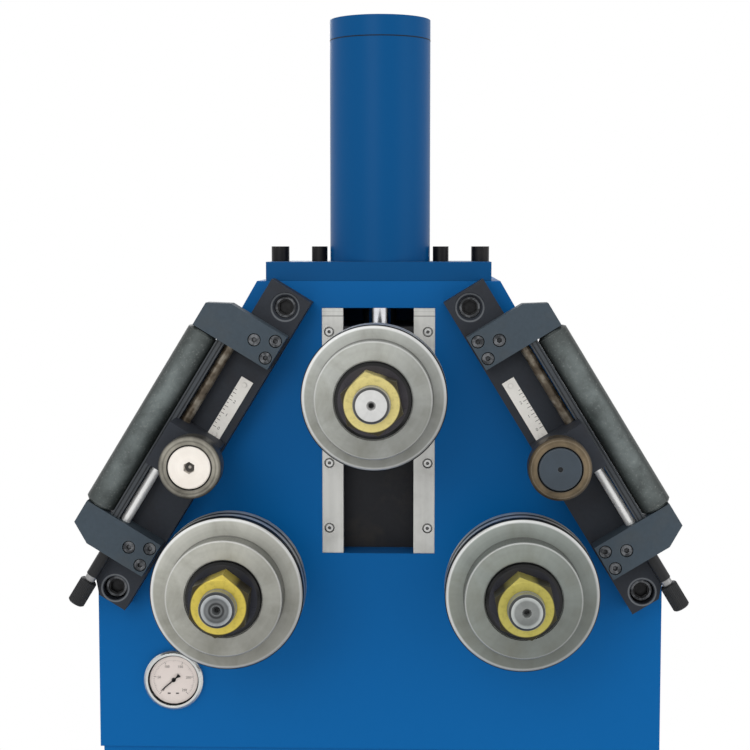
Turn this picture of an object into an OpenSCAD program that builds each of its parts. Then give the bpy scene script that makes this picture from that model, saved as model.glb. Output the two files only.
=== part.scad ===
/* [Rolls] */
// Distance between the two lower shafts
lower_span = 325; // [315:1:335]
// Height of the upper shaft above the lower ones when the press is raised
upper_rise = 216.3; // [208:0.1:220]
// Diameter of the lower roll discs
lower_roll_d = 170; // [150:1:174]
// Diameter of the upper roll discs
upper_roll_d = 160; // [140:1:166]
// Diameter of the hub that stands out of each front disc
hub_d = 128; // [100:1:140]
// Length of the hub in front of the disc
hub_len = 25.7; // [15:0.1:40]
// Thickness of the front disc
front_disc_t = 9; // [7:0.5:16]
// Thickness of the middle disc
mid_disc_t = 22; // [10:0.5:30]
// Thickness of the rear disc
rear_disc_t = 16; // [8:0.5:24]
// Chamfer on the edges between the discs
disc_chamfer = 1.6; // [0.5:0.1:2]
// Chamfer round the front rim of each roll
rim_chamfer = 2.6; // [1:0.1:4]
// Distance from the head's front face to the front face of the discs
ring_reach = 148; // [130:1:170]

/* [Shafts] */
// Diameter of the roll shafts
shaft_d = 50; // [44:1:55]
// Diameter of the thread at the front end of each shaft
thread_d = 40; // [31:1:43]
// Diameter of the plain end in front of the thread
stub_d = 39; // [30:1:41]
// Length of the shaft end that shows in front of the nut
stub_len = 16.7; // [10:0.1:30]
// Diameter of the black collar under the nut
collar_d = 82; // [70:1:90]
// Thickness of the black collar in front of the hub
collar_t = 6; // [4:0.5:12]
// Size of the nut across its flats
nut_af = 60; // [50:1:65]
// Height of the nut
nut_h = 33.7; // [25:0.1:40]
// Diameter of the spacer sleeve behind the discs
spacer_d = 74; // [60:1:90]

/* [Bearings] */
// Outer diameter of the roll shaft bearings
bearing_d = 90; // [80:1:94]
// Width of the roll shaft bearings
bearing_w = 20; // [15:1:22]
// Outer diameter of the drive shaft bearing
drive_bearing_d = 68; // [60:1:72]
// Width of the drive shaft bearing
drive_bearing_w = 15; // [12:1:18]
// Diameter of the bearing covers on the front plate
cover_d = 116; // [108:1:120]
// Thickness of the bearing covers
cover_t = 10; // [6:1:14]

/* [Gears] */
// Module of the gear teeth
gear_module = 4; // [3.95:0.01:4.05]
// Face width of the shaft gears
gear_t = 30; // [20:1:34]
// Diameter of the drive shaft
drive_shaft_d = 40; // [34:1:45]

/* [Head] */
// Width of the head
head_w = 670; // [660:1:700]
// Height of the head's straight sides
side_h = 226.6; // [222:0.1:232]
// Height of the head
head_h = 560; // [550:1:590]
// Height of the lower shafts above the head's bottom edge
shaft_h = 220; // [200:1:225]
// Depth of the head from front to back
head_d = 480; // [460:1:540]
// Thickness of the front plate
front_plate_t = 40; // [38:1:44]
// Thickness of the side and shoulder walls
wall_t = 10; // [6:1:14]
// Thickness of the top plate
top_plate_t = 22; // [16:1:24]
// Thickness of the inner bearing plate
inner_plate_t = 30; // [26:1:36]
// Distance from the head's front face to the bearing plate
inner_plate_y = 180; // [176:1:200]
// Width of the rim behind the rear cover
rim_w = 26; // [20:1:34]
// Thickness of the rear cover and the rear panel
cover_sheet_t = 3; // [2:0.5:5]

/* [Slide] */
// Width of the slot in the front plate
slot_w = 133; // [128:1:136]
// Height of the slot
slot_h = 291; // [285:1:296]
// Height of the slot's lower edge above the lower shafts
slot_low = 17.5; // [12:0.5:22]
// Width of the light guide strips in the slot
gib_w = 25; // [20:0.5:28]
// Thickness of the guide strips
gib_t = 14; // [10:1:18]
// Length of the short filler at the top of each strip
gib_filler_h = 9.5; // [6:0.5:15]
// Width of the opening behind the strips
throat_w = 106; // [102:1:107]
// Height of the press slide
slide_h = 150; // [140:1:154]
// Height of the press slide above the upper shaft
slide_over = 70; // [66:1:74]
// Travel of the press slide
press_travel = 110; // [80:1:112]
// Thickness of the wear plates beside the slide
wear_t = 8; // [5:0.5:9]

/* [Cylinder] */
// Outer diameter of the cylinder tube
tube_d = 120; // [114:1:123]
// Inner diameter of the cylinder tube
tube_bore = 100; // [80:1:104]
// Height of the cylinder above its flange, with the cap
tube_h = 286; // [275:1:320]
// Height of the cap on the cylinder
cap_h = 24; // [15:1:30]
// Width of the cylinder flange
flange_w = 264; // [258:1:275]
// Thickness of the cylinder flange
flange_t = 22.4; // [18:0.1:28]
// Diameter of the piston rod
rod_d = 40; // [32:1:43]
// Distance from the head's front face to the cylinder axis
cylinder_reach = 62; // [62:1:68]
// Distance between the outer flange screws
outer_screw_span = 241; // [232:1:242]
// Distance between the inner flange screws
inner_screw_span = 146; // [144:1:160]
// Diameter of the outer flange screw heads
outer_screw_d = 21.5; // [18:0.5:24]
// Diameter of the inner flange screw heads
inner_screw_d = 19; // [16:0.5:20]
// Height of the flange screw heads
flange_screw_h = 18; // [10:0.5:20]

/* [Side brackets] */
// Distance of a bracket's reference point from the head's side
bracket_side_gap = 32; // [27:1:37]
// Drop of that point below the lower shafts
bracket_drop = 12; // [6:1:16]
// Slope of the brackets from level
bracket_a = 58.6; // [57:0.1:60]
// Length of the bracket base bar
base_len = 422; // [415:1:430]
// Length of the bar below the reference point
base_low = 24; // [22:1:30]
// Width of the bar on the side of the rolls
base_in = 23; // [21:1:25]
// Width of the bar on the outer side
base_out = 30; // [27:1:33]
// Thickness of the bar
base_t = 40; // [34:1:44]
// Height of the bracket end plates
end_plate_h = 43; // [38:1:46]
// Place of the lower end plate along the bar
end_low = 29; // [26:1:32]
// Place of the upper end plate along the bar
end_high = 309; // [304:1:314]
// Reach of the end plates on the outer side
end_out = 78; // [74:1:84]
// Thickness of the end plates
end_plate_t = 30; // [28:1:36]
// Diameter of the long support roller
roller_d = 36; // [30:0.5:38]
// Sideways place of the support roller on its bracket
roller_out = 64.5; // [64:0.5:68]
// Diameter of the lead screw
lead_d = 12; // [9:0.5:13]
// Width of the guide rail
rail_w = 9.8; // [9:0.1:10.5]
// Length of the carriage along the bracket
carriage_h = 54; // [44:1:58]
// Place of the carriage's middle along the bracket
carriage_at = 181; // [176:1:186]
// Depth of the carriage
carriage_t = 69; // [64:1:74]
// Width of the carriage on the outer side
carriage_out = 39.8; // [39:0.1:41]
// Width of the carriage on the side of the rolls
carriage_in = 22; // [18:1:26]
// Diameter of the guide discs
disc_d = 69.5; // [60:0.5:74]
// Thickness of the guide discs
disc_t = 30; // [24:1:34]
// Distance of the guide disc's axis from the bracket's line
disc_in = 7; // [4:0.5:10]
// Diameter of the disc caps
cap_d = 47; // [40:0.5:50]
// Diameter of the lead screw knob
knob_d = 20; // [17:0.5:22]
// Length of the lead screw knob
knob_len = 31.5; // [24:0.5:36]
// Length of the bare stem above the knob
stem_len = 39.5; // [35:0.5:44]

/* [Gauge] */
// Diameter of the pressure gauge's bezel
gauge_d = 71; // [66:0.5:76]
// Distance of the gauge from the head's side
gauge_side_gap = 90; // [80:1:95]
// Drop of the gauge below the lower shafts
gauge_drop = 137; // [134:1:145]
// Height of the bezel in front of the plate
bezel_t = 8; // [6:0.5:12]

/* [Cabinet] */
// Height of the cabinet under the head
cabinet_h = 700; // [640:10:800]
// Set-back of the cabinet's sides from those of the head
cabinet_step = 3.5; // [1:0.5:8]
// Depth of the cabinet
cabinet_d = 472; // [452:1:480]
// Thickness of the cabinet sheet
sheet_t = 3; // [2:0.5:5]
// Height of the cabinet floor above the ground
pan_h = 60; // [40:1:80]
// Width of the foot rim round the bottom
foot_w = 60; // [56:1:70]
// Thickness of the foot rim and of the top rim
foot_t = 6; // [5:0.5:10]
// Distance of the floor anchor holes from the cabinet's sides
anchor_side_gap = 36.5; // [32:0.5:42]
// Distance between the floor anchor holes, front to back
anchor_y = 400; // [392:1:410]
// Diameter of the floor anchor holes
anchor_d = 14; // [11:0.5:18]

/* [Drive and hydraulics] */
// Width of the worm gearbox
gearbox_w = 150; // [140:1:160]
// Depth of the worm gearbox
gearbox_d = 120; // [110:1:130]
// Height of the worm gearbox
gearbox_h = 190; // [180:1:200]
// Diameter of the gear motor
motor_d = 140; // [120:1:150]
// Length of the gear motor under the gearbox
motor_len = 250; // [220:1:280]
// Width of the oil tank
tank_w = 330; // [300:1:340]
// Depth of the oil tank
tank_d = 200; // [180:1:220]
// Height of the oil tank
tank_h = 180; // [150:1:190]
// Diameter of the pump motor
pump_d = 130; // [110:1:140]
// Height of the pump motor
pump_h = 190; // [160:1:210]
// Diameter of the oil pipes
pipe_d = 12; // [8:0.5:14]
// Bend radius of the oil pipes
pipe_bend = 28; // [24:1:32]
// Diameter of the gauge pipe
gauge_pipe_d = 6; // [4:0.5:8]
// Side length of the main switch plate
switch_w = 64; // [50:1:80]

/* [Hidden] */
$fn = 96;
// Radial gap of a part that runs in another, or is pushed over it
run_gap = 0.06;
// Gap beside the press slide
slide_gap = 0.3;
// Gap between close neighbours that move past each other
near_gap = 0.3;
// Overrun of the cuts
over = 1;

// Slope of the head's shoulders from level
shoulder_a = 60;
// Tooth counts of the shaft gears and of the drive pinion
gear_teeth = 50;
pinion_teeth = 36;
pressure_a = 20;
// Thinning of each tooth flank, for backlash
backlash = 0.16;
// Extra face width of the drive pinion
pinion_extra = 4;
// Distance of the gears and of the slide from the bearing plate
gear_gap = 40;
slide_back_gap = 20;

// Places worked out from the sizes above
cabinet_w = head_w - 2 * cabinet_step;
anchor_x = cabinet_w - 2 * anchor_side_gap;
bracket_x = head_w / 2 - bracket_side_gap;
gauge_x = head_w / 2 - gauge_side_gap;
front_y = -head_d / 2;
back_y = head_d / 2;
plate_back_y = front_y + front_plate_t;
inner_y = front_y + inner_plate_y;
inner_back_y = inner_y + inner_plate_t;
shaft_z = cabinet_h + shaft_h;
head_top_z = cabinet_h + head_h;
upper_z = shaft_z + upper_rise;
ring_y = front_y - ring_reach;
hub_y = ring_y - hub_len;
collar_y = hub_y - collar_t;
nut_y = collar_y - nut_h;
stub_y = nut_y - stub_len;
disc_back_y = ring_y + front_disc_t + mid_disc_t + rear_disc_t;
gear_back_y = inner_y - gear_gap;
gear_y = gear_back_y - gear_t;
slide_back_y = inner_y - slide_back_gap;
cylinder_y = front_y + cylinder_reach;

// Fixed small sizes of the shafts and rolls
shaft_chamfer = 3.2;
thread_over = 1;
centre_hole_d = 10;
centre_bore_d = 4;
centre_depth = 9;
nut_face_inset = 0.8;
hub_chamfer = 1.2;
collar_chamfer = 3;
collar_seat = 2.5;
collar_seat_gap = 2;
shoulder_step = 6;
shoulder_d = shaft_d + 2 * shoulder_step;
spacer_gap = 2;
shaft_tail = 6;
bearing_ring_t = 8;
shield_t = 1.2;

// Fixed small sizes of the bearing seats
cover_spigot = 8;
seat_lip = 8;
seal_gap = 0.5;
cover_screw_d = 10;
cover_screw_h = 6;
cover_screw_shank = 6;
cover_screw_len = 16;
cover_screw_inset = 7;
front_seat_y = cover_spigot + near_gap;

// Gear geometry
pitch_distance = gear_module * (gear_teeth + pinion_teeth) / 2;
pinion_drop = sqrt(pow(pitch_distance, 2) - pow(lower_span / 2, 2));
pinion_z = shaft_z - pinion_drop;
mesh_a = atan2(pinion_drop, lower_span / 2);
pinion_pitch_a = 360 / pinion_teeth;
// The pinion has a tooth on the line to the left shaft
pinion_turn = 180 - mesh_a;
// Turn of its nearest tooth past the line to the right shaft
right_slip = pinion_turn - mesh_a - pinion_pitch_a * floor((pinion_turn - mesh_a) / pinion_pitch_a);
left_gear_turn = -mesh_a + 180 / gear_teeth;
right_gear_turn = 180 + mesh_a - right_slip * pinion_teeth / gear_teeth + 180 / gear_teeth;
web_inset = 14;
web_hub = 14;
web_depth = 8;
gear_hub_wall = 10;
gear_hub_d = shaft_d + 2 * gear_hub_wall;
pinion_shoulder = 5;
// Depth of a tooth under the pitch circle, as a share of the module
root_share = 1.25;

// Outline of the head
corner_z = cabinet_h + side_h;
foot_flange_t = 10;
foot_flange_w = 40;
rear_rim_t = 6;
sheet_inset = 6;
inner_plate_low = 100;

// Slot and slide
slot_z = shaft_z + slot_low;
gib_recess = 1;
gib_back_y = front_y + gib_recess + gib_t;
tongue_recess = 3;
tongue_w = slot_w - 2 * gib_w - 2 * slide_gap;
slide_w = throat_w - 2 * slide_gap;
slide_z = upper_z + slide_over - slide_h;
slide_top_z = upper_z + slide_over;
wear_low = 36;
gib_screw_inset = 8.5;
gib_screw_bore = 12;
gib_screw_d = 8.5;
gib_screw_h = 5;
gib_screw_shank = 5;
gib_screw_len = 18;
gib_screw_rise = 30;
gib_screw_pitch = 77.6;
gib_screws_each = 4;
apron_t = 4;
apron_under = 12;
apron_gap = 0.5;
slide_seat_y = gib_back_y + slide_gap + seat_lip;

// Cylinder
flange_top_z = head_top_z + flange_t;
tube_top_z = flange_top_z + tube_h;
flange_d = 2 * cylinder_reach;
cap_spigot = 12;
piston_h = 42;
// Length left under the piston when the press is right down
stroke_spare = 77;
rod_step = 5;
rod_thread_d = rod_d - 2 * rod_step;
rod_thread_len = 18;
gland_wall = 10;
gland_h = 40;
gland_z = head_top_z;
piston_z = gland_z + gland_h + stroke_spare + press_travel;
rod_hole_gap = 1;
flange_screw_shank = 12;
flange_screw_grip = 14;
socket_share = 0.5;
port_d = 28;
port_len = 12;
port_top_drop = 41;
port_low_rise = 32;
port_side = 30;
pipe_x = -142;
pipe_top_y = 145;
pipe_low_y = 105;
pipe_run_drop = 60;

// Brackets: the rail lies beside the roller, and the lead screw beside the rail
rail_lead_gap = 0.7;
rail_out = roller_out - roller_d / 2 - near_gap - rail_w / 2;
lead_out = rail_out - rail_w / 2 - rail_lead_gap - lead_d / 2;
big_screw_low = -7;
big_screw_high = 378;
big_screw_d = 24;
big_screw_h = 16;
big_screw_shank = 16;
big_screw_bore = 28;
top_screw_bore = 25;
top_screw_chamfer = 5;
big_screw_sink = 25;
big_screw_grip = 18;
big_socket_share = 0.68;
big_rim_share = 0.78;
big_rim_depth = 1.5;
base_cut_w = 18;
base_cut_h = 20;
end_in = 21;
end_chamfer_w = 25;
end_chamfer_h = 14;
small_screw_d = 13;
small_screw_h = 8;
small_screw_bore = 15;
small_screw_sink = 9;
small_screw_shank = 8;
small_screw_grip = 14;
small_screw_in = 12.3;
small_screw_out = 9.3;
small_screw_pitch = 22.2;
roller_end_gap = 1;
roller_chamfer = 3;
roller_pin_d = 14;
roller_pin_len = 20;
lead_stem_d = 10.4;
lead_step = 10;
lead_high = 25;
rail_d = 22;
rail_groove = 1.4;
rail_groove_depth = 1;
carriage_gap = 3.7;
disc_boss_d = 30;
disc_boss_t = 1.5;
disc_edge = 3;
disc_recess_d = 50;
disc_recess_t = 7;
cap_proud = 1;
cap_edge = 1.2;
pivot_d = 20;
pivot_thread_d = 12;
pivot_len = 30;
socket_d = 13.6;
socket_depth = 8;
dimple_d = 6;
dimple_depth = 2;
knob_ridges = 30;
knob_ridge_h = 0.5;
knob_edge = 1.5;
knob_neck_d = 12.4;
knob_neck_len = 7;
knob_sleeve_d = 14.4;
scale_in = 14;
scale_out = 1.6;
scale_low = 203;
scale_high = 284;
scale_t = 1.2;
scale_screw_d = 5;
scale_screw_t = 1.4;
scale_screw_shank = 3;
scale_screw_len = 8;
scale_screw_inset = 7;
scale_screw_side = 6.5;
base_y = front_y - base_t;
end_y = base_y - end_plate_t;
axis_y = base_y - end_plate_t / 2;
carriage_back_y = base_y - carriage_gap;
carriage_y = carriage_back_y - carriage_t;
disc_back_face_y = carriage_y - disc_boss_t;
disc_y = disc_back_face_y - disc_t;

// Gauge
gauge_flange = 4.5;
bezel_w = 5;
gauge_body_d = gauge_d - 2 * gauge_flange;
gauge_body_len = 45;
gauge_window_d = gauge_d - 2 * bezel_w;
gauge_stem_d = 14;
gauge_stem_len = 20;
dial_depth = 5;
glass_t = 1;
glass_inset = 1;
needle_w = 2.7;
needle_t = 0.8;
needle_hub_d = 5;
needle_len = 21;
needle_tail = 9;
needle_pin_d = 2;
needle_pin_len = 6;
needle_lift = 1.2;
needle_rest_a = 221;
needle_taper_share = 0.8;
gauge_z = shaft_z - gauge_drop;
gauge_pipe_y = 125;

// Cabinet and panels
top_rim_w = 50;
panel_rim_w = 34;
panel_screw_d = 12;
panel_screw_h = 4;
panel_screw_shank = 5;
panel_screw_len = 12;
panel_screw_inset = 6;
vent_w = 110;
vent_h = 7;
vent_pitch = 18;
vent_rows = 6;
vent_side = 75;
head_screw_d = 18;
head_screw_h = 12;
head_screw_shank = 12;

// Drive and hydraulics
gearbox_drop = 95;
gearbox_ring_d = 140;
gearbox_ring_t = 10;
worm_offset = 80;
motor_bell_d = 120;
motor_bell_h = 20;
fin_count = 32;
// Ends of a groove and of a fin, as shares of their spacing
fin_shares = [0.45, 0.55, 0.9];
fin_h = 6;
cowl_h = 45;
cowl_lip = 2;
junction_w = 70;
junction_d = 40;
junction_h = 80;
drive_tail = 8;
tank_x = -85;
tank_y = 125;
filler_d = 50;
filler_h = 30;
filler_x = -215;
filler_edge = 6;
pump_x = -32;
pump_foot_d = 90;
pump_foot_h = 14;
block_w = 80;
block_d = 100;
block_h = 80;
coil_d = 36;
coil_len = 45;
box_w = 110;
box_d = 180;
box_h = 260;
box_z = 330;
box_y = 60;
switch_y = 60;
switch_z = 480;
switch_t = 6;
switch_knob_d = 46;
switch_knob_t = 20;
switch_bar_w = 12;
switch_bar_len = 44;
switch_shaft_d = 8;
gland_d = 26;
gland_len = 22;
gland_hole_d = 20;
gland_y = 150;
gland_height = 180;

// A bar of the outline in the X-Z plane, from one depth to another
module xz_plate(points, y_from, y_to) {
  translate([0, y_to, 0])
    rotate([90, 0, 0])
      linear_extrude(y_to - y_from) polygon(points);
}

// A round bar along Y
module y_bar(d, y_from, y_to) {
  translate([0, y_from, 0])
    rotate([-90, 0, 0]) cylinder(h = y_to - y_from, d = d);
}

// A turned solid about the Y axis, from points of radius and depth
module turned(points) {
  rotate([-90, 0, 0]) rotate_extrude() polygon(points);
}

module at_shaft(x, z) {
  translate([x, 0, z]) children();
}

module at_left() { at_shaft(-lower_span / 2, shaft_z) children(); }
module at_right() { at_shaft(lower_span / 2, shaft_z) children(); }
module at_upper() { at_shaft(0, upper_z) children(); }
module at_pinion() { at_shaft(0, pinion_z) children(); }

// Width of the head's slanted wall at a height, drawn in from the outside
function shoulder_x(z, inset) =
  head_w / 2 - (z - corner_z + inset / cos(shoulder_a)) / tan(shoulder_a);

// Outline of the head, drawn in from the outside by a wall
function head_outline(inset, low, high) =
  let (side = head_w / 2 - inset,
     bend = corner_z + (inset * sin(shoulder_a) - inset) / cos(shoulder_a),
     top = shoulder_x(high, inset))
  [[-side, low], [side, low], [side, bend], [top, high], [-top, high], [-side, bend]];

// One side's bracket frame: X points outwards across it, Z points up along it
module on_bracket(side) {
  mirror([side < 0 ? 1 : 0, 0, 0])
    translate([bracket_x, 0, shaft_z - bracket_drop])
      rotate([0, bracket_a - 90, 0]) children();
}

// Rolls, collars and nuts

// A set of three discs, the front one with its hub
module roll_set(d) {
  bore = shaft_d / 2 + run_gap;
  seat = collar_d / 2 + collar_seat_gap;
  front_back = ring_y + front_disc_t;
  mid_back = front_back + mid_disc_t;
  turned([
    [bore, hub_y + collar_seat], [seat, hub_y + collar_seat], [seat, hub_y],
    [hub_d / 2 - hub_chamfer, hub_y], [hub_d / 2, hub_y + hub_chamfer], [hub_d / 2, ring_y],
    [d / 2 - rim_chamfer, ring_y], [d / 2, ring_y + rim_chamfer],
    [d / 2, front_back - disc_chamfer], [d / 2 - disc_chamfer, front_back], [bore, front_back]
  ]);
  plain_disc(d, front_back, mid_back);
  plain_disc(d, mid_back, disc_back_y);
}

// A disc with chamfered edges, from one depth to another
module plain_disc(d, y_from, y_to) {
  bore = shaft_d / 2 + run_gap;
  turned([
    [bore, y_from], [d / 2 - disc_chamfer, y_from], [d / 2, y_from + disc_chamfer],
    [d / 2, y_to - disc_chamfer], [d / 2 - disc_chamfer, y_to], [bore, y_to]
  ]);
}

// The black collar in front of a roll, and the stepped spacer sleeve behind it
module collar_set(step_y, spacer_end_y) {
  bore = shaft_d / 2 + run_gap;
  turned([
    [bore, collar_y], [collar_d / 2 - collar_chamfer, collar_y],
    [collar_d / 2, collar_y + collar_chamfer], [collar_d / 2, hub_y + collar_seat],
    [bore, hub_y + collar_seat]
  ]);
  turned([
    [bore, disc_back_y], [spacer_d / 2, disc_back_y], [spacer_d / 2, step_y],
    [shoulder_d / 2, step_y], [shoulder_d / 2, spacer_end_y], [bore, spacer_end_y]
  ]);
}

// The big hexagon nut, with its chamfered front corners and one corner at an angle
module shaft_nut(corner_a) {
  corner = nut_af / 2 / cos(30);
  face = nut_af / 2 - nut_face_inset;
  reach = corner - face + over;
  difference() {
    intersection() {
      translate([0, collar_y, 0])
        rotate([90, -corner_a, 0]) cylinder(h = nut_h, r = corner, $fn = 6);
      turned([
        [0, nut_y], [face, nut_y], [face + reach, nut_y + reach * tan(30)],
        [face + reach, collar_y], [0, collar_y]
      ]);
    }
    y_bar(thread_d + 2 * run_gap, nut_y - over, collar_y + over);
  }
}

// A roll shaft: bearing seats and shoulder, roll seat, thread and centre hole
module roll_shaft(tail_y, shoulder_from, shoulder_to) {
  r = shaft_d / 2;
  thread_from = collar_y + collar_chamfer;
  thread_end = nut_y - thread_over;
  turned([
    [0, tail_y], [r - hub_chamfer, tail_y], [r, tail_y - hub_chamfer],
    [r, shoulder_to], [shoulder_d / 2, shoulder_to], [shoulder_d / 2, shoulder_from],
    [r, shoulder_from], [r, thread_from], [thread_d / 2, thread_from],
    [thread_d / 2, thread_end], [stub_d / 2, thread_end - (thread_d - stub_d) / 2],
    [stub_d / 2, stub_y + shaft_chamfer], [stub_d / 2 - shaft_chamfer, stub_y],
    [centre_hole_d / 2, stub_y],
    [centre_bore_d / 2, stub_y + (centre_hole_d - centre_bore_d) / 2 / tan(30)],
    [centre_bore_d / 2, stub_y + centre_depth], [0, stub_y + centre_depth]
  ]);
}

// A ball bearing as one ring with sunk shields
module bearing(bore, outer, width, y_from) {
  inner_r = bore / 2 + run_gap;
  outer_r = outer / 2 - run_gap;
  y_to = y_from + width;
  turned([
    [inner_r, y_from], [inner_r + bearing_ring_t, y_from],
    [inner_r + bearing_ring_t, y_from + shield_t],
    [outer_r - bearing_ring_t, y_from + shield_t], [outer_r - bearing_ring_t, y_from],
    [outer_r, y_from], [outer_r, y_to], [outer_r - bearing_ring_t, y_to],
    [outer_r - bearing_ring_t, y_to - shield_t],
    [inner_r + bearing_ring_t, y_to - shield_t], [inner_r + bearing_ring_t, y_to],
    [inner_r, y_to]
  ]);
}

// Gears

// Flare of an involute flank at a radius, in degrees
function flare(base, r) =
  let (a = acos(min(1, base / r))) (tan(a) - a * PI / 180) * 180 / PI;

// Outline of a gear with involute teeth, the first tooth along +X
function gear_points(teeth) =
  let (pitch_r = gear_module * teeth / 2,
     base = pitch_r * cos(pressure_a),
     root = pitch_r - root_share * gear_module,
     tip = pitch_r + gear_module,
     start = max(base, root),
     half = 90 / teeth - backlash / pitch_r * 180 / PI + flare(base, pitch_r),
     radii = [for (i = [0:3]) start + (tip - start) * i / 3])
  [for (t = [0:teeth - 1])
    let (mid = 360 * t / teeth)
    each concat(
      [polar(root, mid - half + flare(base, start))],
      [for (r = radii) polar(r, mid - half + flare(base, r))],
      [for (i = [3:-1:0]) polar(radii[i], mid + half - flare(base, radii[i]))],
      [polar(root, mid + half - flare(base, start))])];

function polar(r, a) = [r * cos(a), r * sin(a)];

// A toothed ring, seen from the front with X to the right and Z up
module teeth_y(teeth, turn, y_from, y_to) {
  translate([0, y_to, 0])
    rotate([90, 0, 0])
      rotate([0, 0, turn]) linear_extrude(y_to - y_from) polygon(gear_points(teeth));
}

module shaft_gear(turn) {
  pitch_r = gear_module * gear_teeth / 2;
  web_r = pitch_r - web_inset;
  difference() {
    union() {
      teeth_y(gear_teeth, turn, gear_y, gear_back_y);
      y_bar(gear_hub_d, gear_y, inner_back_y - bearing_w);
    }
    y_bar(shaft_d + 2 * run_gap, gear_y - over, inner_back_y);
    turned([
      [gear_hub_d / 2 + web_hub, gear_y - over], [web_r, gear_y - over],
      [web_r, gear_y + web_depth], [gear_hub_d / 2 + web_hub, gear_y + web_depth]
    ]);
  }
}

// The head

module front_plate() color("royalblue") {
  difference() {
    xz_plate(head_outline(0, cabinet_h, head_top_z), front_y, plate_back_y);
    translate([-slot_w / 2, front_y - over, slot_z])
      cube([slot_w, gib_recess + gib_t + over, slot_h]);
    translate([-throat_w / 2, front_y - over, slot_z])
      cube([throat_w, front_plate_t + 2 * over, slot_h]);
    for (side = [-1, 1]) {
      at_shaft(side * lower_span / 2, shaft_z) {
        y_bar(bearing_d, front_y - over, front_y + front_seat_y + bearing_w);
        y_bar(bearing_d - seat_lip, front_y, plate_back_y + over);
        cover_screw_holes(front_y);
      }
      gib_screw_places(side)
        y_bar(gib_screw_shank + 2 * run_gap, front_y, gib_back_y + gib_screw_len);
      on_bracket(side) big_screw_holes(front_y);
    }
    at_shaft(-gauge_x, gauge_z)
      y_bar(gauge_body_d + 2 * near_gap, front_y - over, plate_back_y + over);
  }
}

module cover_screw_holes(y_from) {
  for (a = [45:90:315])
    rotate([0, a, 0])
      translate([cover_d / 2 - cover_screw_inset, 0, 0])
        y_bar(cover_screw_shank + 2 * run_gap, y_from - over,
           y_from + cover_screw_len + near_gap);
}

// Threaded holes of the bracket's two big screws
module big_screw_holes(y_from) {
  for (u = [big_screw_low, big_screw_high])
    translate([0, 0, u])
      y_bar(big_screw_shank + 2 * run_gap, y_from - over, y_from + big_screw_grip + near_gap);
}

module gib_screw_places(side) {
  for (i = [0:gib_screws_each - 1])
    translate([side * (slot_w / 2 - gib_screw_inset), 0,
          slot_z + gib_screw_rise + i * gib_screw_pitch])
      children();
}

// Places of the screws along the sides of the rear cover
module cover_places() {
  low = cabinet_h + foot_flange_t + rim_w / 2;
  high = head_top_z - top_plate_t - rim_w / 2;
  inset = wall_t + rim_w / 2;
  for (side = [-1, 1]) {
    for (z = [low, (low + corner_z) / 2, corner_z])
      translate([side * (head_w / 2 - inset), 0, z]) children();
    for (z = [(corner_z + high) / 2, high])
      translate([side * shoulder_x(z, inset), 0, z]) children();
  }
}

module head_shell() color("royalblue") {
  low = cabinet_h;
  inner_low = cabinet_h + foot_flange_t;
  inner_top = head_top_z - top_plate_t;
  difference() {
    xz_plate(head_outline(0, low, head_top_z), plate_back_y, back_y);
    xz_plate(head_outline(wall_t, inner_low, inner_top), plate_back_y - over,
         back_y - rear_rim_t);
    xz_plate(head_outline(wall_t + rim_w, inner_low + rim_w, inner_top - rim_w),
         back_y - rear_rim_t - over, back_y + over);
    // Opening in the bottom flange, over the cabinet
    translate([-head_w / 2 + wall_t + foot_flange_w, plate_back_y + foot_flange_w, low - over])
      cube([head_w - 2 * wall_t - 2 * foot_flange_w,
         back_y - plate_back_y - 2 * foot_flange_w, foot_flange_t + 2 * over]);
    // Hole for the piston rod
    translate([0, cylinder_y, inner_top - over])
      cylinder(h = top_plate_t + 2 * over, d = rod_d + 2 * rod_hole_gap);
    for (y = [pipe_top_y, pipe_low_y])
      translate([-port_side, y, inner_top - over])
        cylinder(h = top_plate_t + 2 * over, d = pipe_d + 2 * near_gap);
    for (x = flange_screw_xs)
      translate([x, cylinder_y, head_top_z - flange_screw_grip - near_gap])
        cylinder(h = flange_screw_grip + over, d = flange_screw_shank + 2 * run_gap);
    head_screw_places()
      translate([0, 0, low - over])
        cylinder(h = foot_flange_t + 2 * over, d = head_screw_shank + 2 * run_gap);
    cover_places()
      y_bar(panel_screw_shank + 2 * run_gap, back_y - rear_rim_t - over, back_y + over);
  }
}

flange_screw_xs = [
  -outer_screw_span / 2, -inner_screw_span / 2, inner_screw_span / 2, outer_screw_span / 2
];

// Screws between the head's bottom flange and the cabinet's top rim
module head_screw_places() {
  for (side = [-1, 1])
    for (y = [plate_back_y + foot_flange_w, back_y - foot_flange_w])
      translate([side * (head_w / 2 - wall_t - foot_flange_w / 2), y, 0]) children();
}

module bearing_plate() color("royalblue") {
  low = shaft_z - inner_plate_low;
  difference() {
    xz_plate(head_outline(wall_t, low, head_top_z - top_plate_t), inner_y, inner_back_y);
    for (side = [-1, 1])
      at_shaft(side * lower_span / 2, shaft_z) {
        y_bar(bearing_d, inner_back_y - bearing_w, inner_back_y + over);
        y_bar(bearing_d - seat_lip, inner_y - over, inner_back_y);
      }
    at_pinion() {
      y_bar(drive_bearing_d, inner_back_y - drive_bearing_w, inner_back_y + over);
      y_bar(drive_bearing_d - seat_lip, inner_y - over, inner_back_y);
    }
  }
}

module rear_cover() color("royalblue") {
  low = cabinet_h + foot_flange_t + sheet_inset;
  difference() {
    xz_plate(head_outline(sheet_inset, low, head_top_z - sheet_inset), back_y,
         back_y + cover_sheet_t);
    translate([0, back_y, shaft_z]) vents();
    cover_places()
      y_bar(panel_screw_shank + 2 * near_gap, back_y - over, back_y + cover_sheet_t + over);
  }
}

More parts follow.
